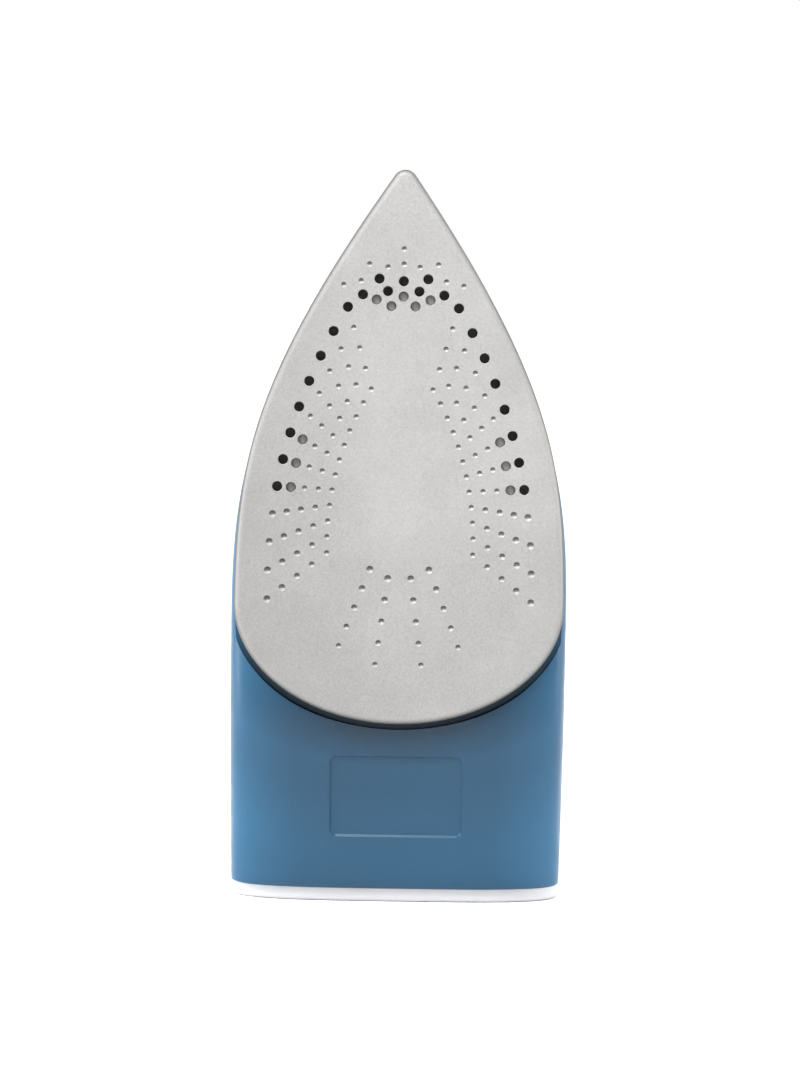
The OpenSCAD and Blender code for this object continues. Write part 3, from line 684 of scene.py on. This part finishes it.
def width_at(y):
    return float(np.interp(y, *zip(*body_stations())))


def inner_width(w):
    return max(w - WALL, 0.3 * w)


def mirrored(quarter):
    """A half section from the right side over the middle to the left side."""
    return np.vstack([quarter, quarter[-2::-1] * [-1, 1]])


def with_seam(quarter):
    """Rounds a quarter section's edge where it meets another shell."""
    w = quarter[0][0]
    return np.vstack([[(w - SEAM, 0), (w - 0.28 * SEAM, 0.28 * SEAM), (w, SEAM)], quarter[1:]])


def placed(y, seam_z, half, way=1):
    """Stands a half section on the seam, upwards, or downwards where way is -1."""
    return np.array([(x, leaning(y, seam_z + way * z), seam_z + way * z) for x, z in half])


def upper_rings(stations):
    """Rings of the upper shells' walls, rounded at the seam with the skirt."""
    rings = []
    for y, w in stations:
        rise, n = top(y) - split(y), upper_squareness(y)
        outer = mirrored(with_seam(oval_side(w, rise, n, UPPER_STEPS)))
        inner = mirrored(oval_side(inner_width(w), max(rise - WALL, 0.5), n, UPPER_STEPS))
        rings.append(np.vstack([placed(y, split(y), outer), placed(y, split(y), inner[::-1])]))
    return rings


def upper_solid(grow):
    """The whole upper body as one solid, grown all round."""
    return loft([placed(y, split(y), mirrored(oval_side(w + grow, top(y) + grow - split(y),
                                                         upper_squareness(y), UPPER_STEPS)))
                 for y, w in body_stations()])


def space_behind_heel(depth):
    """Everything behind the heel's face, and as far as depth inside it."""
    turn = Matrix.Translation((0, 0, HEEL_Z)) @ Matrix.Rotation(-LEAN, 4, "X")
    outline = [(-FAR, depth - FAR), (FAR, depth - FAR), (FAR, depth), (-FAR, depth)]
    return moved(prism(outline, -FAR, FAR), turn)


# ---- Skirt ----

# Width of the soft wall round the recess
RECESS_RAMP = 0.6


def recess_depth(x, y):
    """Depth of the blank rating panel: a soft-walled rounded rectangle."""
    corner = 2.4
    dx = abs(x) - (RECESS_W / 2 - corner)
    dy = abs(y - RECESS_Y) - (RECESS_L / 2 - corner)
    away = math.hypot(max(dx, 0), max(dy, 0)) + min(max(dx, dy), 0) - corner
    k = min(1, max(0, -away / RECESS_RAMP))
    return 1.5 * RECESS_D * k * k * (3 - 2 * k)


def dense_near(edges, low, high, coarse, fine, reach):
    """Values from low to high, close together near each edge."""
    values = list(np.arange(low, high, coarse)) + [high]
    for e in edges:
        values = [v for v in values if abs(v - e) > reach + 0.6 * coarse or v in (low, high)]
        values += list(np.arange(e - reach, e + reach + fine / 2, fine))
    return np.array(sorted(v for v in set(np.round(values, 4)) if low <= v <= high))


def lower_quarter(w, h, n, columns):
    """A quarter section that hangs from the seam: even steps round the side from (w, 0), then
    the columns, which are shares of the width, over the flat to the middle (0, h)."""
    flat = [(x, h * (1 - (x / w) ** n) ** (1 / n)) for x in columns * min(w, BODY_W / 2)]
    a = np.linspace(math.acos(columns[-1] ** (n / 2)), 0, 500)
    side = evenly(w * np.cos(a) ** (2 / n), h * np.sin(a) ** (2 / n), LOWER_STEPS)[1:]
    return np.vstack([flat, side])[::-1]


def skirt_stations():
    """The body's stations, close together at the two ends of the recess."""
    ends = [RECESS_Y + side * (RECESS_L / 2 - 2 * RECESS_RAMP) for side in (-1, 1)]
    rear = dense_near(ends, COVER_Y + 0.4, WIDEST_Y, 3, 0.3, 2.1)
    return ([(y, BODY_W / 2) for y in rear[:-1]]
            + [s for s in body_stations(64) if s[0] >= WIDEST_Y - 1e-6])


def skirt_ring(y, w, columns):
    """The skirt's wall at one station, with the recess pressed into its underside."""
    h, n = split(y) - underside(y), lower_squareness(y)
    outer = placed(y, split(y), mirrored(with_seam(lower_quarter(w, h, n, columns))), -1)
    for p in outer:
        if abs(p[0]) < BODY_W / 4 and p[2] < split(y) - 0.5 * h:
            depth = recess_depth(p[0], y)
            p[1] += depth * math.sin(SLOPE)
            p[2] += depth * math.cos(SLOPE)
    iw, floor_z = inner_width(w), max(underside(y), SHELF_Z) + WALL
    inner = lower_quarter(iw, max(split(y) - floor_z, 0.5), n, columns)
    inner = np.vstack([[(iw, 0), (iw, 0.2), (iw, 0.4)], inner[1:]])
    return np.vstack([outer, placed(y, split(y), mirrored(inner)[::-1], -1)])


def skirt():
    half_w, back = BODY_W / 2, 0.35
    columns = dense_near([RECESS_W / 2 - 2 * RECESS_RAMP], 0, 0.72 * half_w, 3, 0.3, 2.1) / half_w
    stations = skirt_stations()
    rings = [skirt_ring(y, w, columns) for y, w in stations]
    # The rear end is rounded back a little where it meets the white cover
    rear = rings[0].copy()
    outside = rear[:len(rear) // 2]
    outside[:, 0] *= 1 - back / half_w
    outside[:, 2] += np.clip((split(COVER_Y) - outside[:, 2]) * 0.1, 0, back)
    rear[:, 1] = [leaning(stations[0][0] - back, z) for z in rear[:, 2]]
    shell = loft([rear] + rings)
    # A gap all round the soleplate, and an opening for the casting above the gap's shelf
    gap = [(-3.3, -1), (-3.3, 3), (-2.7, 4), (-2.2, 5), (-2, SHELF_Z + 1.8)]
    shell = boolean(shell, loft([sole_ring(inset, z) for inset, z in gap]))
    well = sole_ring(6, 0)
    # The inset folds over itself at the sharp nose, and those points are left out
    well = well[well[:, 0] * sole_ring(0, 0)[:, 0] > 1e-6]
    return boolean(shell, prism(well[:, :2], -2, SHELF_Z + 8))


piece("skirt_shell", skirt(), "iron", "blue_plastic", "skirt")

# ---- Rear cover: the face that the iron stands on ----

# Outline of the handle's foot on the heel: (half width, distance up the heel's face)
FOOT = [(42, 20), (38, 30), (34, 37), (30, 43), (24, 49), (17, 55), (10, 59), (3, 60.5)]
FOOT_TOP = 60.6
SCREW_X, SCREW_Q = 36, 15


def on_heel(x, q, out):
    """A point q up the heel's face and out from it."""
    return (x, q * math.sin(LEAN) - out * math.cos(LEAN),
            HEEL_Z + q * math.cos(LEAN) + out * math.sin(LEAN))


def heel_half():
    """Right half of the heel's outline, from the bottom middle to the top middle."""
    w, lift, soft = BODY_W / 2, 1 / math.cos(LEAN), 5
    low = oval_side(w, split(0) - underside(0), lower_squareness(0), 40)[::-1]
    points = [(x, (split(0) - HEEL_Z - z) * lift) for x, z in low]
    high = oval_side(w, DECK_Z - split(0), upper_squareness(0), 60)
    qs = [(split(0) - HEEL_Z + z) * lift for z in high[:, 1]]
    foot_q, foot_x = [q for _, q in FOOT], [x for x, _ in FOOT]
    for q in np.linspace(qs[0] + 0.4, FOOT_TOP - 0.2, 90):
        # The body and the foot run into each other with a soft corner
        body = np.interp(q, qs, high[:, 0]) if q < qs[-1] else 0
        foot = np.interp(q, foot_q, foot_x)
        gap = (body - foot) / soft
        points.append((foot + soft * math.log(1 + math.exp(gap)), q))
    return np.array(points + [(0, FOOT_TOP)])


def rear_cover():
    r, edge = 1.9, 0.35
    profile = [(edge, 0.1 - COVER_T), (0, 0.1 + edge - COVER_T)]
    profile += [(r - r * math.cos(a), -r + r * math.sin(a)) for a in np.radians(range(0, 91, 15))]
    profile += [(r + 1, 0)]
    outline = both_sides(heel_half())
    plate = loft([[on_heel(x, q, out) for x, q in inset_ring(outline, inset)]
                  for inset, out in profile])
    seats = []
    for side in (-1, 1):
        seat = lathe([(4.2, 1), (4.2, -0.1), (3.6, -0.5), (3.6, -1.9), (1.8, -1.9), (1.8, -8)], 40)
        seat_at = Matrix.Translation(on_heel(side * SCREW_X, SCREW_Q, 0))
        seats.append(moved(seat, seat_at @ Matrix.Rotation(math.pi / 2 - LEAN, 4, "X")))
    return boolean(plate, joined(seats))


piece("rear_cover_plate", rear_cover(), "iron", "white_plastic", "rear_cover", 30)

# ---- Upper shells: the water tank and the rear housing ----


def plate_across(y, thickness):
    """A wall across the body, just inside its skin."""
    w, inside = width_at(y), 0.6
    return loft([placed(at, split(at), mirrored(oval_side(w - inside, top(at) - split(at) - inside,
                                                          upper_squareness(at), UPPER_STEPS)))
                 for at in (y, y + thickness)])


def round_rectangle(w, l, corner):
    """Points round a rectangle with round corners, about its middle."""
    ring = []
    for qx, qy, start in ((1, 1, 0), (-1, 1, 90), (-1, -1, 180), (1, -1, 270)):
        for a in np.radians(np.linspace(start, start + 90, 8)):
            ring.append((qx * (w / 2 - corner) + corner * math.cos(a),
                         qy * (l / 2 - corner) + corner * math.sin(a)))
    return ring


def shell_between(low, high):
    """The upper shells' wall between two distances from the heel, with soft cut rims."""
    soft = 0.4
    stations = [(y, w) for y, w in body_stations() if low + 2 * soft < y < high - 2 * soft]
    if low > COVER_Y:
        stations = [(y, width_at(y)) for y in (low, low + soft)] + stations
    if high < BODY_L:
        stations += [(y, width_at(y)) for y in (high - soft, high)]
    rings = upper_rings(stations)
    for ring, is_cut in ((rings[0], low > COVER_Y), (rings[-1], high < BODY_L)):
        if is_cut:
            seam_z, outside = ring[:, 2].min(), ring[:len(ring) // 2]
            outside[:, 0] *= 1 - soft / outside[:, 0].max()
            outside[:, 2] = lerp(seam_z, outside[:, 2], 0.991)
    return loft(rings)


def hinge_ear(x0, x1):
    """A knuckle of the flap's hinge, with its foot on the tank."""
    ring = [(2.4 * math.cos(a), 2.4 * math.sin(a)) for a in np.radians(range(-20, 201, 10))]
    ring += [(-3.4, -3.2), (-3.2, -5.4), (3.2, -6.2), (3.4, -3.2)]
    return loft([[(x, HINGE_Y + s * y, HINGE_Z + (s * z if z > -3 else z)) for y, z in ring]
                 for x, s in ((x0, 0.9), (x0 + 0.25, 1), (x1 - 0.25, 1), (x1, 0.9))])


def along_nozzle():
    return Matrix.Translation(NOZZLE_AT) @ Matrix.Rotation(NOZZLE_A - math.pi / 2, 4, "X")


def water_tank():
    shell = shell_between(TANK_Y, BODY_L + 1)
    shell = boolean(shell, plate_across(TANK_Y + 0.05, WALL), "UNION")
    for ear in (hinge_ear(7, 9.5), hinge_ear(-9.5, -7)):
        shell = boolean(shell, ear, "UNION")
    mouth = prism(round_rectangle(FILLER_W, FILLER_L, 4), 40, 80)
    cutters = [moved(mouth, Matrix.Translation((0, FILLER_Y, 0))),
               moved(cylinder(4.1, 40, 80, 48), Matrix.Translation((0, VALVE_Y, 0))),
               moved(cylinder(NOZZLE_R + 0.05, -15, 15, 48), along_nozzle())]
    return boolean(shell, joined(cutters))


def rear_housing():
    shell = shell_between(COVER_Y, TANK_Y - 0.3)
    boss = moved(lathe([(DIAL_R + 1.4, -2), (DIAL_R + 1.4, 0.15), (DIAL_R + 1, 0.55),
                        (DIAL_R + 0.4, 0.6)], 128), Matrix.Translation((0, DIAL_Y, DECK_Z)))
    shell = boolean(shell, boss, "UNION")
    cutters = [moved(cylinder(NECK_R, 50, 90, 48), Matrix.Translation((0, 36, 0))),
               moved(cylinder(DIAL_SHAFT_R + 0.4, 0, 90, 48), Matrix.Translation((0, DIAL_Y, 0)))]
    return boolean(shell, joined(cutters))


piece("water_tank_clear", water_tank(), "iron", "tank_plastic", "water_tank")
piece("rear_housing_shell", rear_housing(), "iron", "white_plastic", "rear_housing")

# ---- Handle ----

# Sections along the handle from the nose end, as (distance from the heel, height, half width,
# half height, squareness); places on the handle are given by their section's number
HANDLE = np.array([
    [198, 24, 21, 16, 2.5], [196, 52, 16, 13.5, 2.5], [195, 76, 14.5, 13, 2.5],
    [186, 98, 15.5, 13.5, 2.5], [162, GRIP_Z - 5, GRIP_W - 0.5, GRIP_H, 2.5],
    [128, GRIP_Z, GRIP_W + 0.5, GRIP_H, 2.5], [92, GRIP_Z - 2, GRIP_W, GRIP_H - 0.5, 2.5],
    [62, GRIP_Z - 11, GRIP_W + 0.5, GRIP_H + 1, 2.7], [41, 90, 22, 24, 3.5],
    [36, 68, 32, 28, 5], [28, 46, 44, 28, 5], [20, 24, 52, 28, 5]])
SPANS = len(HANDLE) - 3
BUTTON_K, KNOB_K, LENS_K, BUSH_K = 2.8, 1.7, 3.6, 6.25
GRIP_FROM, GRIP_TO, GRIP_RIDGES = 2.7, 6, 12
BUTTON_X, BUTTON_W, BUTTON_L, BUTTON_CORNER = 6.4, 10.6, 19, 2


def handle_at(k):
    """The section at k, on a smooth curve through the sections."""
    i = min(int(math.floor(k)), SPANS - 1)
    u, p = k - i, HANDLE[i:i + 4]
    return (2 * p[1] + u * (p[2] - p[0]) + u * u * (2 * p[0] - 5 * p[1] + 4 * p[2] - p[3])
            + u ** 3 * (3 * p[1] - p[0] - 3 * p[2] + p[3])) / 2


def handle_tangent(k):
    d = (handle_at(min(k + 0.01, SPANS)) - handle_at(max(k - 0.01, 0)))[:2]
    return d / np.linalg.norm(d)


def on_section(k, x, h):
    """A point on the section at k: x across it and h out of the loop."""
    c, t = handle_at(k), handle_tangent(k)
    return (x, c[0] + t[1] * h, c[1] - t[0] * h)


def on_handle(k, h=0.0):
    """Axes on the handle at k: x across, y towards the front, z out of the loop."""
    t = handle_tangent(k)
    p = on_section(k, 0, h)
    return Matrix(((1, 0, 0, p[0]), (0, -t[0], t[1], p[1]), (0, -t[1], -t[0], p[2]),
                   (0, 0, 0, 1)))


def handle_quarter(k, grow, steps):
    c = handle_at(k)
    return oval_side(c[2] + grow, c[3] + grow, c[4], steps)


def handle_solid(grow):
    rings = []
    for k in np.linspace(0, SPANS, SPANS * 10 + 1):
        half = mirrored(handle_quarter(k, grow, 24))
        ring = np.vstack([half, half[-2:0:-1] * [1, -1]])
        rings.append([on_section(k, x, h) for x, h in ring])
    return loft(rings)


def handle_side(side, body_solid):
    """Half of the hollow handle: side is 1 outside the loop and -1 on the fingers' side."""
    rings = []
    for k in np.linspace(0, SPANS, SPANS * 12 + 1):
        outer = mirrored(with_seam(handle_quarter(k, 0, 26)))
        inner = mirrored(handle_quarter(k, -WALL, 26))[::-1]
        rings.append([on_section(k, x, side * h) for x, h in np.vstack([outer, inner])])
    shell = boolean(loft(rings), body_solid)
    # A hair past the heel's plane, where a cut right on it would leave a sheet
    return boolean(shell, space_behind_heel(COVER_T + 0.01))


def button_outline(grow):
    return round_rectangle(BUTTON_W + 2 * grow, BUTTON_L + 2 * grow,
                           max(BUTTON_CORNER + grow, 0.3))


def slot_outline(r, steps):
    """Points round a slot that runs along the handle."""
    straight = 3.5
    return [(r * math.cos(a), r * math.sin(a) + math.copysign(straight, math.sin(a)))
            for a in np.linspace(0.001, math.tau + 0.001, steps + 1)[:-1]]


def handle_cover(body_solid):
    """The outer half of the handle, with a collar, a knob's boss and all the openings."""
    shell = boolean(handle_side(1, body_solid),
                    moved(cylinder(WELL_R, GRIP_H - 4, GRIP_H + 16, 64), on_handle(BUSH_K)))
    collar = lathe([(WELL_R + 0.4, 4.5), (WELL_R + 0.4, GRIP_H + 0.4), (WELL_R, GRIP_H + 0.8),
                    (WELL_R - 1, GRIP_H + 0.8)], 96)
    boss = lathe([(KNOB_R + 1.4, 8.5), (KNOB_R + 1.4, 14), (KNOB_R + 1, 14.4)], 64)
    for raised, k, grow in ((collar, BUSH_K, 1.2), (boss, KNOB_K, 2)):
        raised = boolean(moved(raised, on_handle(k)), handle_solid(grow), "INTERSECT")
        shell = boolean(shell, raised, "UNION")
    cutters = [(prism([(x + side * BUTTON_X, y) for x, y in button_outline(0.4)], 0, 30),
                BUTTON_K) for side in (-1, 1)]
    cutters += [(prism(slot_outline(LENS_R + 0.15, 32), 5, 25), LENS_K),
                (cylinder(COLLAR_R + 0.3, 0, 40, 96), BUSH_K),
                (cylinder(KNOB_SHAFT_R + 0.05, 0, 40, 32), KNOB_K)]
    for cutter, k in cutters:
        shell = boolean(shell, moved(cutter, on_handle(k)))
    return shell


def grip_insert():
    """A soft panel round the inside of the grip, with shallow ridges across it."""
    rings = []
    rim, thick, ridge = 0.3, 1.15, 0.22
    for k in np.linspace(GRIP_FROM, GRIP_TO, 265):
        wave = 0.5 - 0.5 * math.cos(math.tau * (k - GRIP_FROM) * GRIP_RIDGES)
        edge = min(1, (k - GRIP_FROM) / 0.03, (GRIP_TO - k) / 0.03)
        half = mirrored(handle_quarter(k, rim, 60))
        rise = thick * math.sqrt(edge) + ridge * wave ** 2 * edge
        out = mirrored(handle_quarter(k, rim + rise, 60))
        # The panel stops short of the seam on each side, and fades out there
        low, high = 10, len(half) - 10
        rows = [lerp(half[j], out[j], math.sqrt(min(1, (j - low) / 3, (high - 1 - j) / 3)))
                for j in range(low, high)]
        ring = np.vstack([rows, half[low + 1:high - 1][::-1] * 0.998])
        rings.append([on_section(k, x, -h) for x, h in ring])
    return loft(rings)


def drape(rings, matrix, surface):
    """Lays rings of (x, y, drop) onto a surface, looking down the matrix's z axis."""
    inverse = matrix.inverted()
    down = (matrix.to_3x3() @ Vector((0, 0, -1))).normalized()
    out = []
    for ring in rings:
        row = []
        for x, y, drop in ring:
            hit = surface.ray_cast(matrix @ Vector((x, y, FAR)), down)[0]
            row.append((x, y, (inverse @ hit).z - drop))
        out.append(row)
    return out


def surface_of(mesh):
    work = bmesh.new()
    work.from_mesh(mesh)
    tree = BVHTree.FromBMesh(work)
    work.free()
    return tree


def button(side, surface):
    """A pump button: a cap that follows the handle's curve, with a dished, round-edged top."""
    matrix = on_handle(BUTTON_K)
    edge, skirt_drop = 1, 2.2
    plan = []
    for inset in (0, 0.1, 0.3, 0.6, 1.0, 1.8, 2.8, 3.8, 4.7):
        rounding = 1 - math.sqrt(max(0, 1 - (1 - min(inset / edge, 1)) ** 2))
        dish = 0.35 * min(1, max(0, inset - edge) / 3.7) ** 1.5
        plan.append([(x + side * BUTTON_X, y, rounding + dish)
                     for x, y in button_outline(-inset)])
    rings = drape(plan, matrix, surface)
    cap = loft([[(x, y, z - skirt_drop) for x, y, z in rings[0]]] + rings)
    stem = moved(cylinder(2.2, -3.5, 11, 32), Matrix.Translation((side * BUTTON_X, 0, 0)))
    return moved(boolean(cap, stem, "UNION"), matrix)


body_solid = upper_solid(0.05)
piece("handle_inner_half", handle_side(-1, body_solid), "iron", "white_plastic", "handle_shell")
piece("handle_outer_half", handle_cover(body_solid), "iron", "blue_plastic", "handle_cover")
piece("grip_soft_panel", grip_insert(), "iron", "grip_rubber", "grip_insert", 50)
button_top = surface_of(handle_solid(1.6))
for name, side in (("steam_button", -1), ("spray_button", 1)):
    piece(name + "_cap", button(side, button_top), name, "grey_plastic", name)

# ---- Filler flap ----


def filler_flap():
    """The lid over the filler mouth, with its hinge knuckle."""
    corner, centre = 4, np.array((0, FILLER_Y))
    # The lid narrows towards its front, so its sides slant by this much
    slant = math.degrees(math.atan2(8 - 5, FILLER_L))
    outline = []
    for x, y, start, end in ((-8, -1, 180, 270), (8, -1, 270, 360 + slant),
                             (5, 1, slant, 90), (-5, 1, 90, 180 - slant)):
        for a in np.radians(np.linspace(start, end, 8)):
            outline.append((x + corner * math.cos(a), y * FILLER_L / 2 + corner * math.sin(a)))
    outline = np.array(outline)

    def plan(share, drop=0):
        return [(x, y, drop) for x, y in centre + outline * share]

    upright = Matrix.Identity(4)
    under = drape([plan(share) for share in (0.35, 0.7, 1)], upright,
                  surface_of(upper_solid(0.85)))
    over = drape([plan(1 - inset / 9, drop) for inset, drop in
                  ((0, 0.9), (0.15, 0.5), (0.4, 0.2), (0.9, 0), (3, 0), (6, 0))],
                 upright, surface_of(upper_solid(2.8)))
    ring = [(2.2 * math.cos(a), 2.2 * math.sin(a)) for a in np.linspace(0, math.tau, 33)[:-1]]
    knuckle = loft([[(x, HINGE_Y + s * y, HINGE_Z + s * z) for y, z in ring]
                    for x, s in ((-6.5, 0.88), (-6.25, 1), (6.25, 1), (6.5, 0.88))])
    arm = loft([[(x, HINGE_Y + y, HINGE_Z + z)
                 for x, z in ((-6, low), (6, low), (6, high), (-6, high))]
                for y, low, high in ((0.5, -2, 0.6), (4.4, -2.9, -1.1), (7.5, -3.4, -2.6))])
    lid = boolean(loft(under + over), boolean(knuckle, arm, "UNION"), "UNION")
    pin_axis = Matrix.Translation((0, HINGE_Y, HINGE_Z)) @ Matrix.Rotation(math.pi / 2, 4, "Y")
    return boolean(lid, moved(cylinder(PIN_BORE_R, -20, 20, 24), pin_axis))


piece("filler_flap_lid", filler_flap(), "filler_flap", "blue_plastic", "filler_flap")

# ---- Dial, knob, nozzle and pilot lens ----


def ribs(count, depth):
    """Grip flutes round a knob's edge."""
    def wave(a, r):
        return r - depth * (0.5 - 0.5 * math.cos(a * count)) ** 2
    return wave


def bar(x, y0, y1, z0, z1):
    """A raised pointer with softened edges."""
    soft = 0.3
    return loft([[(-x + s, y0 + s, z), (x - s, y0 + s, z), (x - s, y1 - s, z),
                  (-x + s, y1 - s, z)]
                 for z, s in ((z0, 0), (z1 - soft, 0), (z1 - 0.3 * soft, 0.3 * soft),
                              (z1, soft))])


def dot(x, y, z):
    """A raised dot that marks a heat setting."""
    r = 0.9
    bowl = [(r * math.cos(a), z + 0.5 * r * math.sin(a)) for a in np.radians([0, 25, 50, 75])]
    return moved(lathe([(r, z - 0.6)] + bowl, 20), Matrix.Translation((x, y, 0)))


def temperature_dial():
    r = DIAL_R
    edge = [(r - 0.5, 0), (r - 0.05, 0.5), (r - 0.05, 3.9), (r - 0.5, 4.6)]
    body = lathe(edge, 480, ribs(40, 1.1))
    crown = lathe([(r - 1.7, 4.4), (r - 1.9, 5.1), (r - 2.5, 5.75), (r - 3.4, 6), (r - 5, 6),
                   (r - 5.8, 5.6), (r - 8, 5.2), (3, 5.0)], 160)
    dial = boolean(body, crown, "UNION")
    dial = boolean(dial, bar(1.2, 9, r - 4.5, 5, 6.75), "UNION")
    for count, angle in ((1, 60), (2, 130), (3, 200)):
        for i in range(count):
            a = math.radians(angle + 9 * (i - (count - 1) / 2))
            mark = dot((r - 4.2) * math.sin(a), (r - 4.2) * math.cos(a), 6)
            dial = boolean(dial, mark, "UNION")
    dial = boolean(dial, cylinder(DIAL_SHAFT_R, -1, 3.5, 48))
    return moved(dial, Matrix.Translation((0, DIAL_Y, DECK_Z + 0.9)))


def steam_knob():
    r = KNOB_R
    edge = [(r - 0.5, 14.9), (r, 15.3), (r, 19.4), (r - 0.5, 19.9)]
    body = lathe(edge, 240, ribs(20, 0.7))
    crown = lathe([(r - 1.1, 19.8), (r - 1.3, 20.5), (r - 1.9, 21), (r - 3, 21.1)], 96)
    knob = boolean(body, crown, "UNION")
    knob = boolean(knob, bar(0.8, 1, r - 2.4, 20.5, 21.9), "UNION")
    knob = boolean(knob, cylinder(KNOB_SHAFT_R, 8, 16, 48), "UNION")
    return moved(knob, on_handle(KNOB_K))


def spray_nozzle():
    r = NOZZLE_R
    outside = lathe([(r, 0), (r, 12.4), (3.85, 12.9), (3.3, 13.7), (2.9, 14.2)], 64)
    jet = lathe([(2.2, 14.9), (1.8, 13.9), (1.6, 13.2), (0.5, 13), (0.5, 3)], 40)
    return moved(boolean(boolean(outside, jet), cylinder(1.8, -1, 4, 40)), along_nozzle())


def pilot_lens():
    base = GRIP_H - 4
    rings = [[(x, y, base + z) for x, y in slot_outline(LENS_R - inset, 48)]
             for inset, z in ((0, 0), (0, 3.7), (0.12, 4.05), (0.4, 4.3), (0.9, 4.42), (1.6, 4.45))]
    return moved(loft(rings), on_handle(LENS_K))


piece("dial_knob", temperature_dial(), "temperature_dial", "grey_plastic", "temperature_dial")
piece("steam_knob_cap", steam_knob(), "steam_knob", "grey_plastic", "steam_knob")
piece("spray_nozzle_tip", spray_nozzle(), "iron", "grey_plastic", "spray_nozzle")
piece("pilot_lens_cap", pilot_lens(), "iron", "lamp_lens", "pilot_lamp_lens")

# ---- Cord inlet ----


def cord_collar():
    """A ring with a ball socket, which turns in the handle's well."""
    socket_r = BALL_R + 0.3
    collar = lathe([(COLLAR_R, -7), (COLLAR_R, 0.9), (11.85, 1.3), (11.2, 2.1), (10.5, 2.5),
                    (9.8, 2.5)], 96)
    socket = lathe([(socket_r * math.cos(a), socket_r * math.sin(a))
                    for a in np.radians(range(-88, 89, 8))], 96)
    return moved(boolean(collar, socket), on_handle(BUSH_K, GRIP_H))


def cord_bush():
    """A ball with a ribbed sleeve, hollow for the cord."""
    ball = [(BALL_R * math.cos(a), BALL_R * math.sin(a)) for a in np.radians(range(-56, 49, 6))]
    sleeve = [(5.9, 7.4), (5.5, 8.6), (5.42, 11.6)]
    for i in range(6):
        z, taper = 12 + 3 * i, 0.08 * i
        sleeve += [(r - taper, z + up) for r, up in
                   ((5.55, 0), (5.85, 0.25), (5.9, 0.7), (5.85, 1.15), (5.55, 1.4),
                    (5.45, 1.7), (5.4, 2.7))]
    sleeve += [(5, BUSH_L - 0.3), (4.7, BUSH_L)]
    bush = boolean(lathe(ball + sleeve, 96), cylinder(CORD_R, -20, 60, 64))
    return moved(bush, on_handle(BUSH_K, GRIP_H))


piece("cord_collar_ring", cord_collar(), "cord_collar", "white_plastic", "cord_collar")
piece("cord_bush_sleeve", cord_bush(), "cord_bush", "bush_rubber", "cord_bush", 50)

# ---- Floor and light ----


def floor():
    ring = [(3 * math.cos(a), 3 * math.sin(a), 0) for a in np.linspace(0, math.tau, 97)[:-1]]
    mesh = mesh_of(ring, [tuple(range(len(ring)))])
    coat = Finish("pale_floor", Roughness=0.9, Specular_IOR_Level=0.1)
    coat.colour((0.88, 0.88, 0.88), coat.span(coat.noise(0.01, 2), 0.99, 1.01))
    mesh.materials.append(coat.material)
    added("floor", mesh)


def light(name, kind, place, energy, target, **values):
    """A light of a kind, in watts, or for a sun in watts to the square metre."""
    data = bpy.data.lights.new(name, kind)
    data.energy = energy
    for key, value in values.items():
        setattr(data, key, value)
    obj = added(name, data)
    obj.location = place
    look(obj, target)


floor()
middle = (Vector(cad_bounds[0]) + Vector(cad_bounds[1])) / 2
for name, place, size, watts in (("key", (-0.3, -0.75, 1.35), 0.5, 25),
                                 ("left_strip", (-1.0, -0.2, 0.3), 0.5, 13),
                                 ("right_strip", (1.05, -0.1, 0.3), 0.35, 9),
                                 ("back_fill", (0.9, 1.4, 0.9), 0.9, 5)):
    light(name, "AREA", place, watts, middle, shape="DISK", size=size)
light("overhead", "SUN", (0, 0.3, 2.5), 1, Vector((0, 0, 0)), angle=math.radians(70))
world = bpy.data.worlds.new("studio")
world.use_nodes = True
background = world.node_tree.nodes["Background"]
background.inputs["Color"].default_value = (1, 1, 1, 1)
background.inputs["Strength"].default_value = 1
scene.world = world
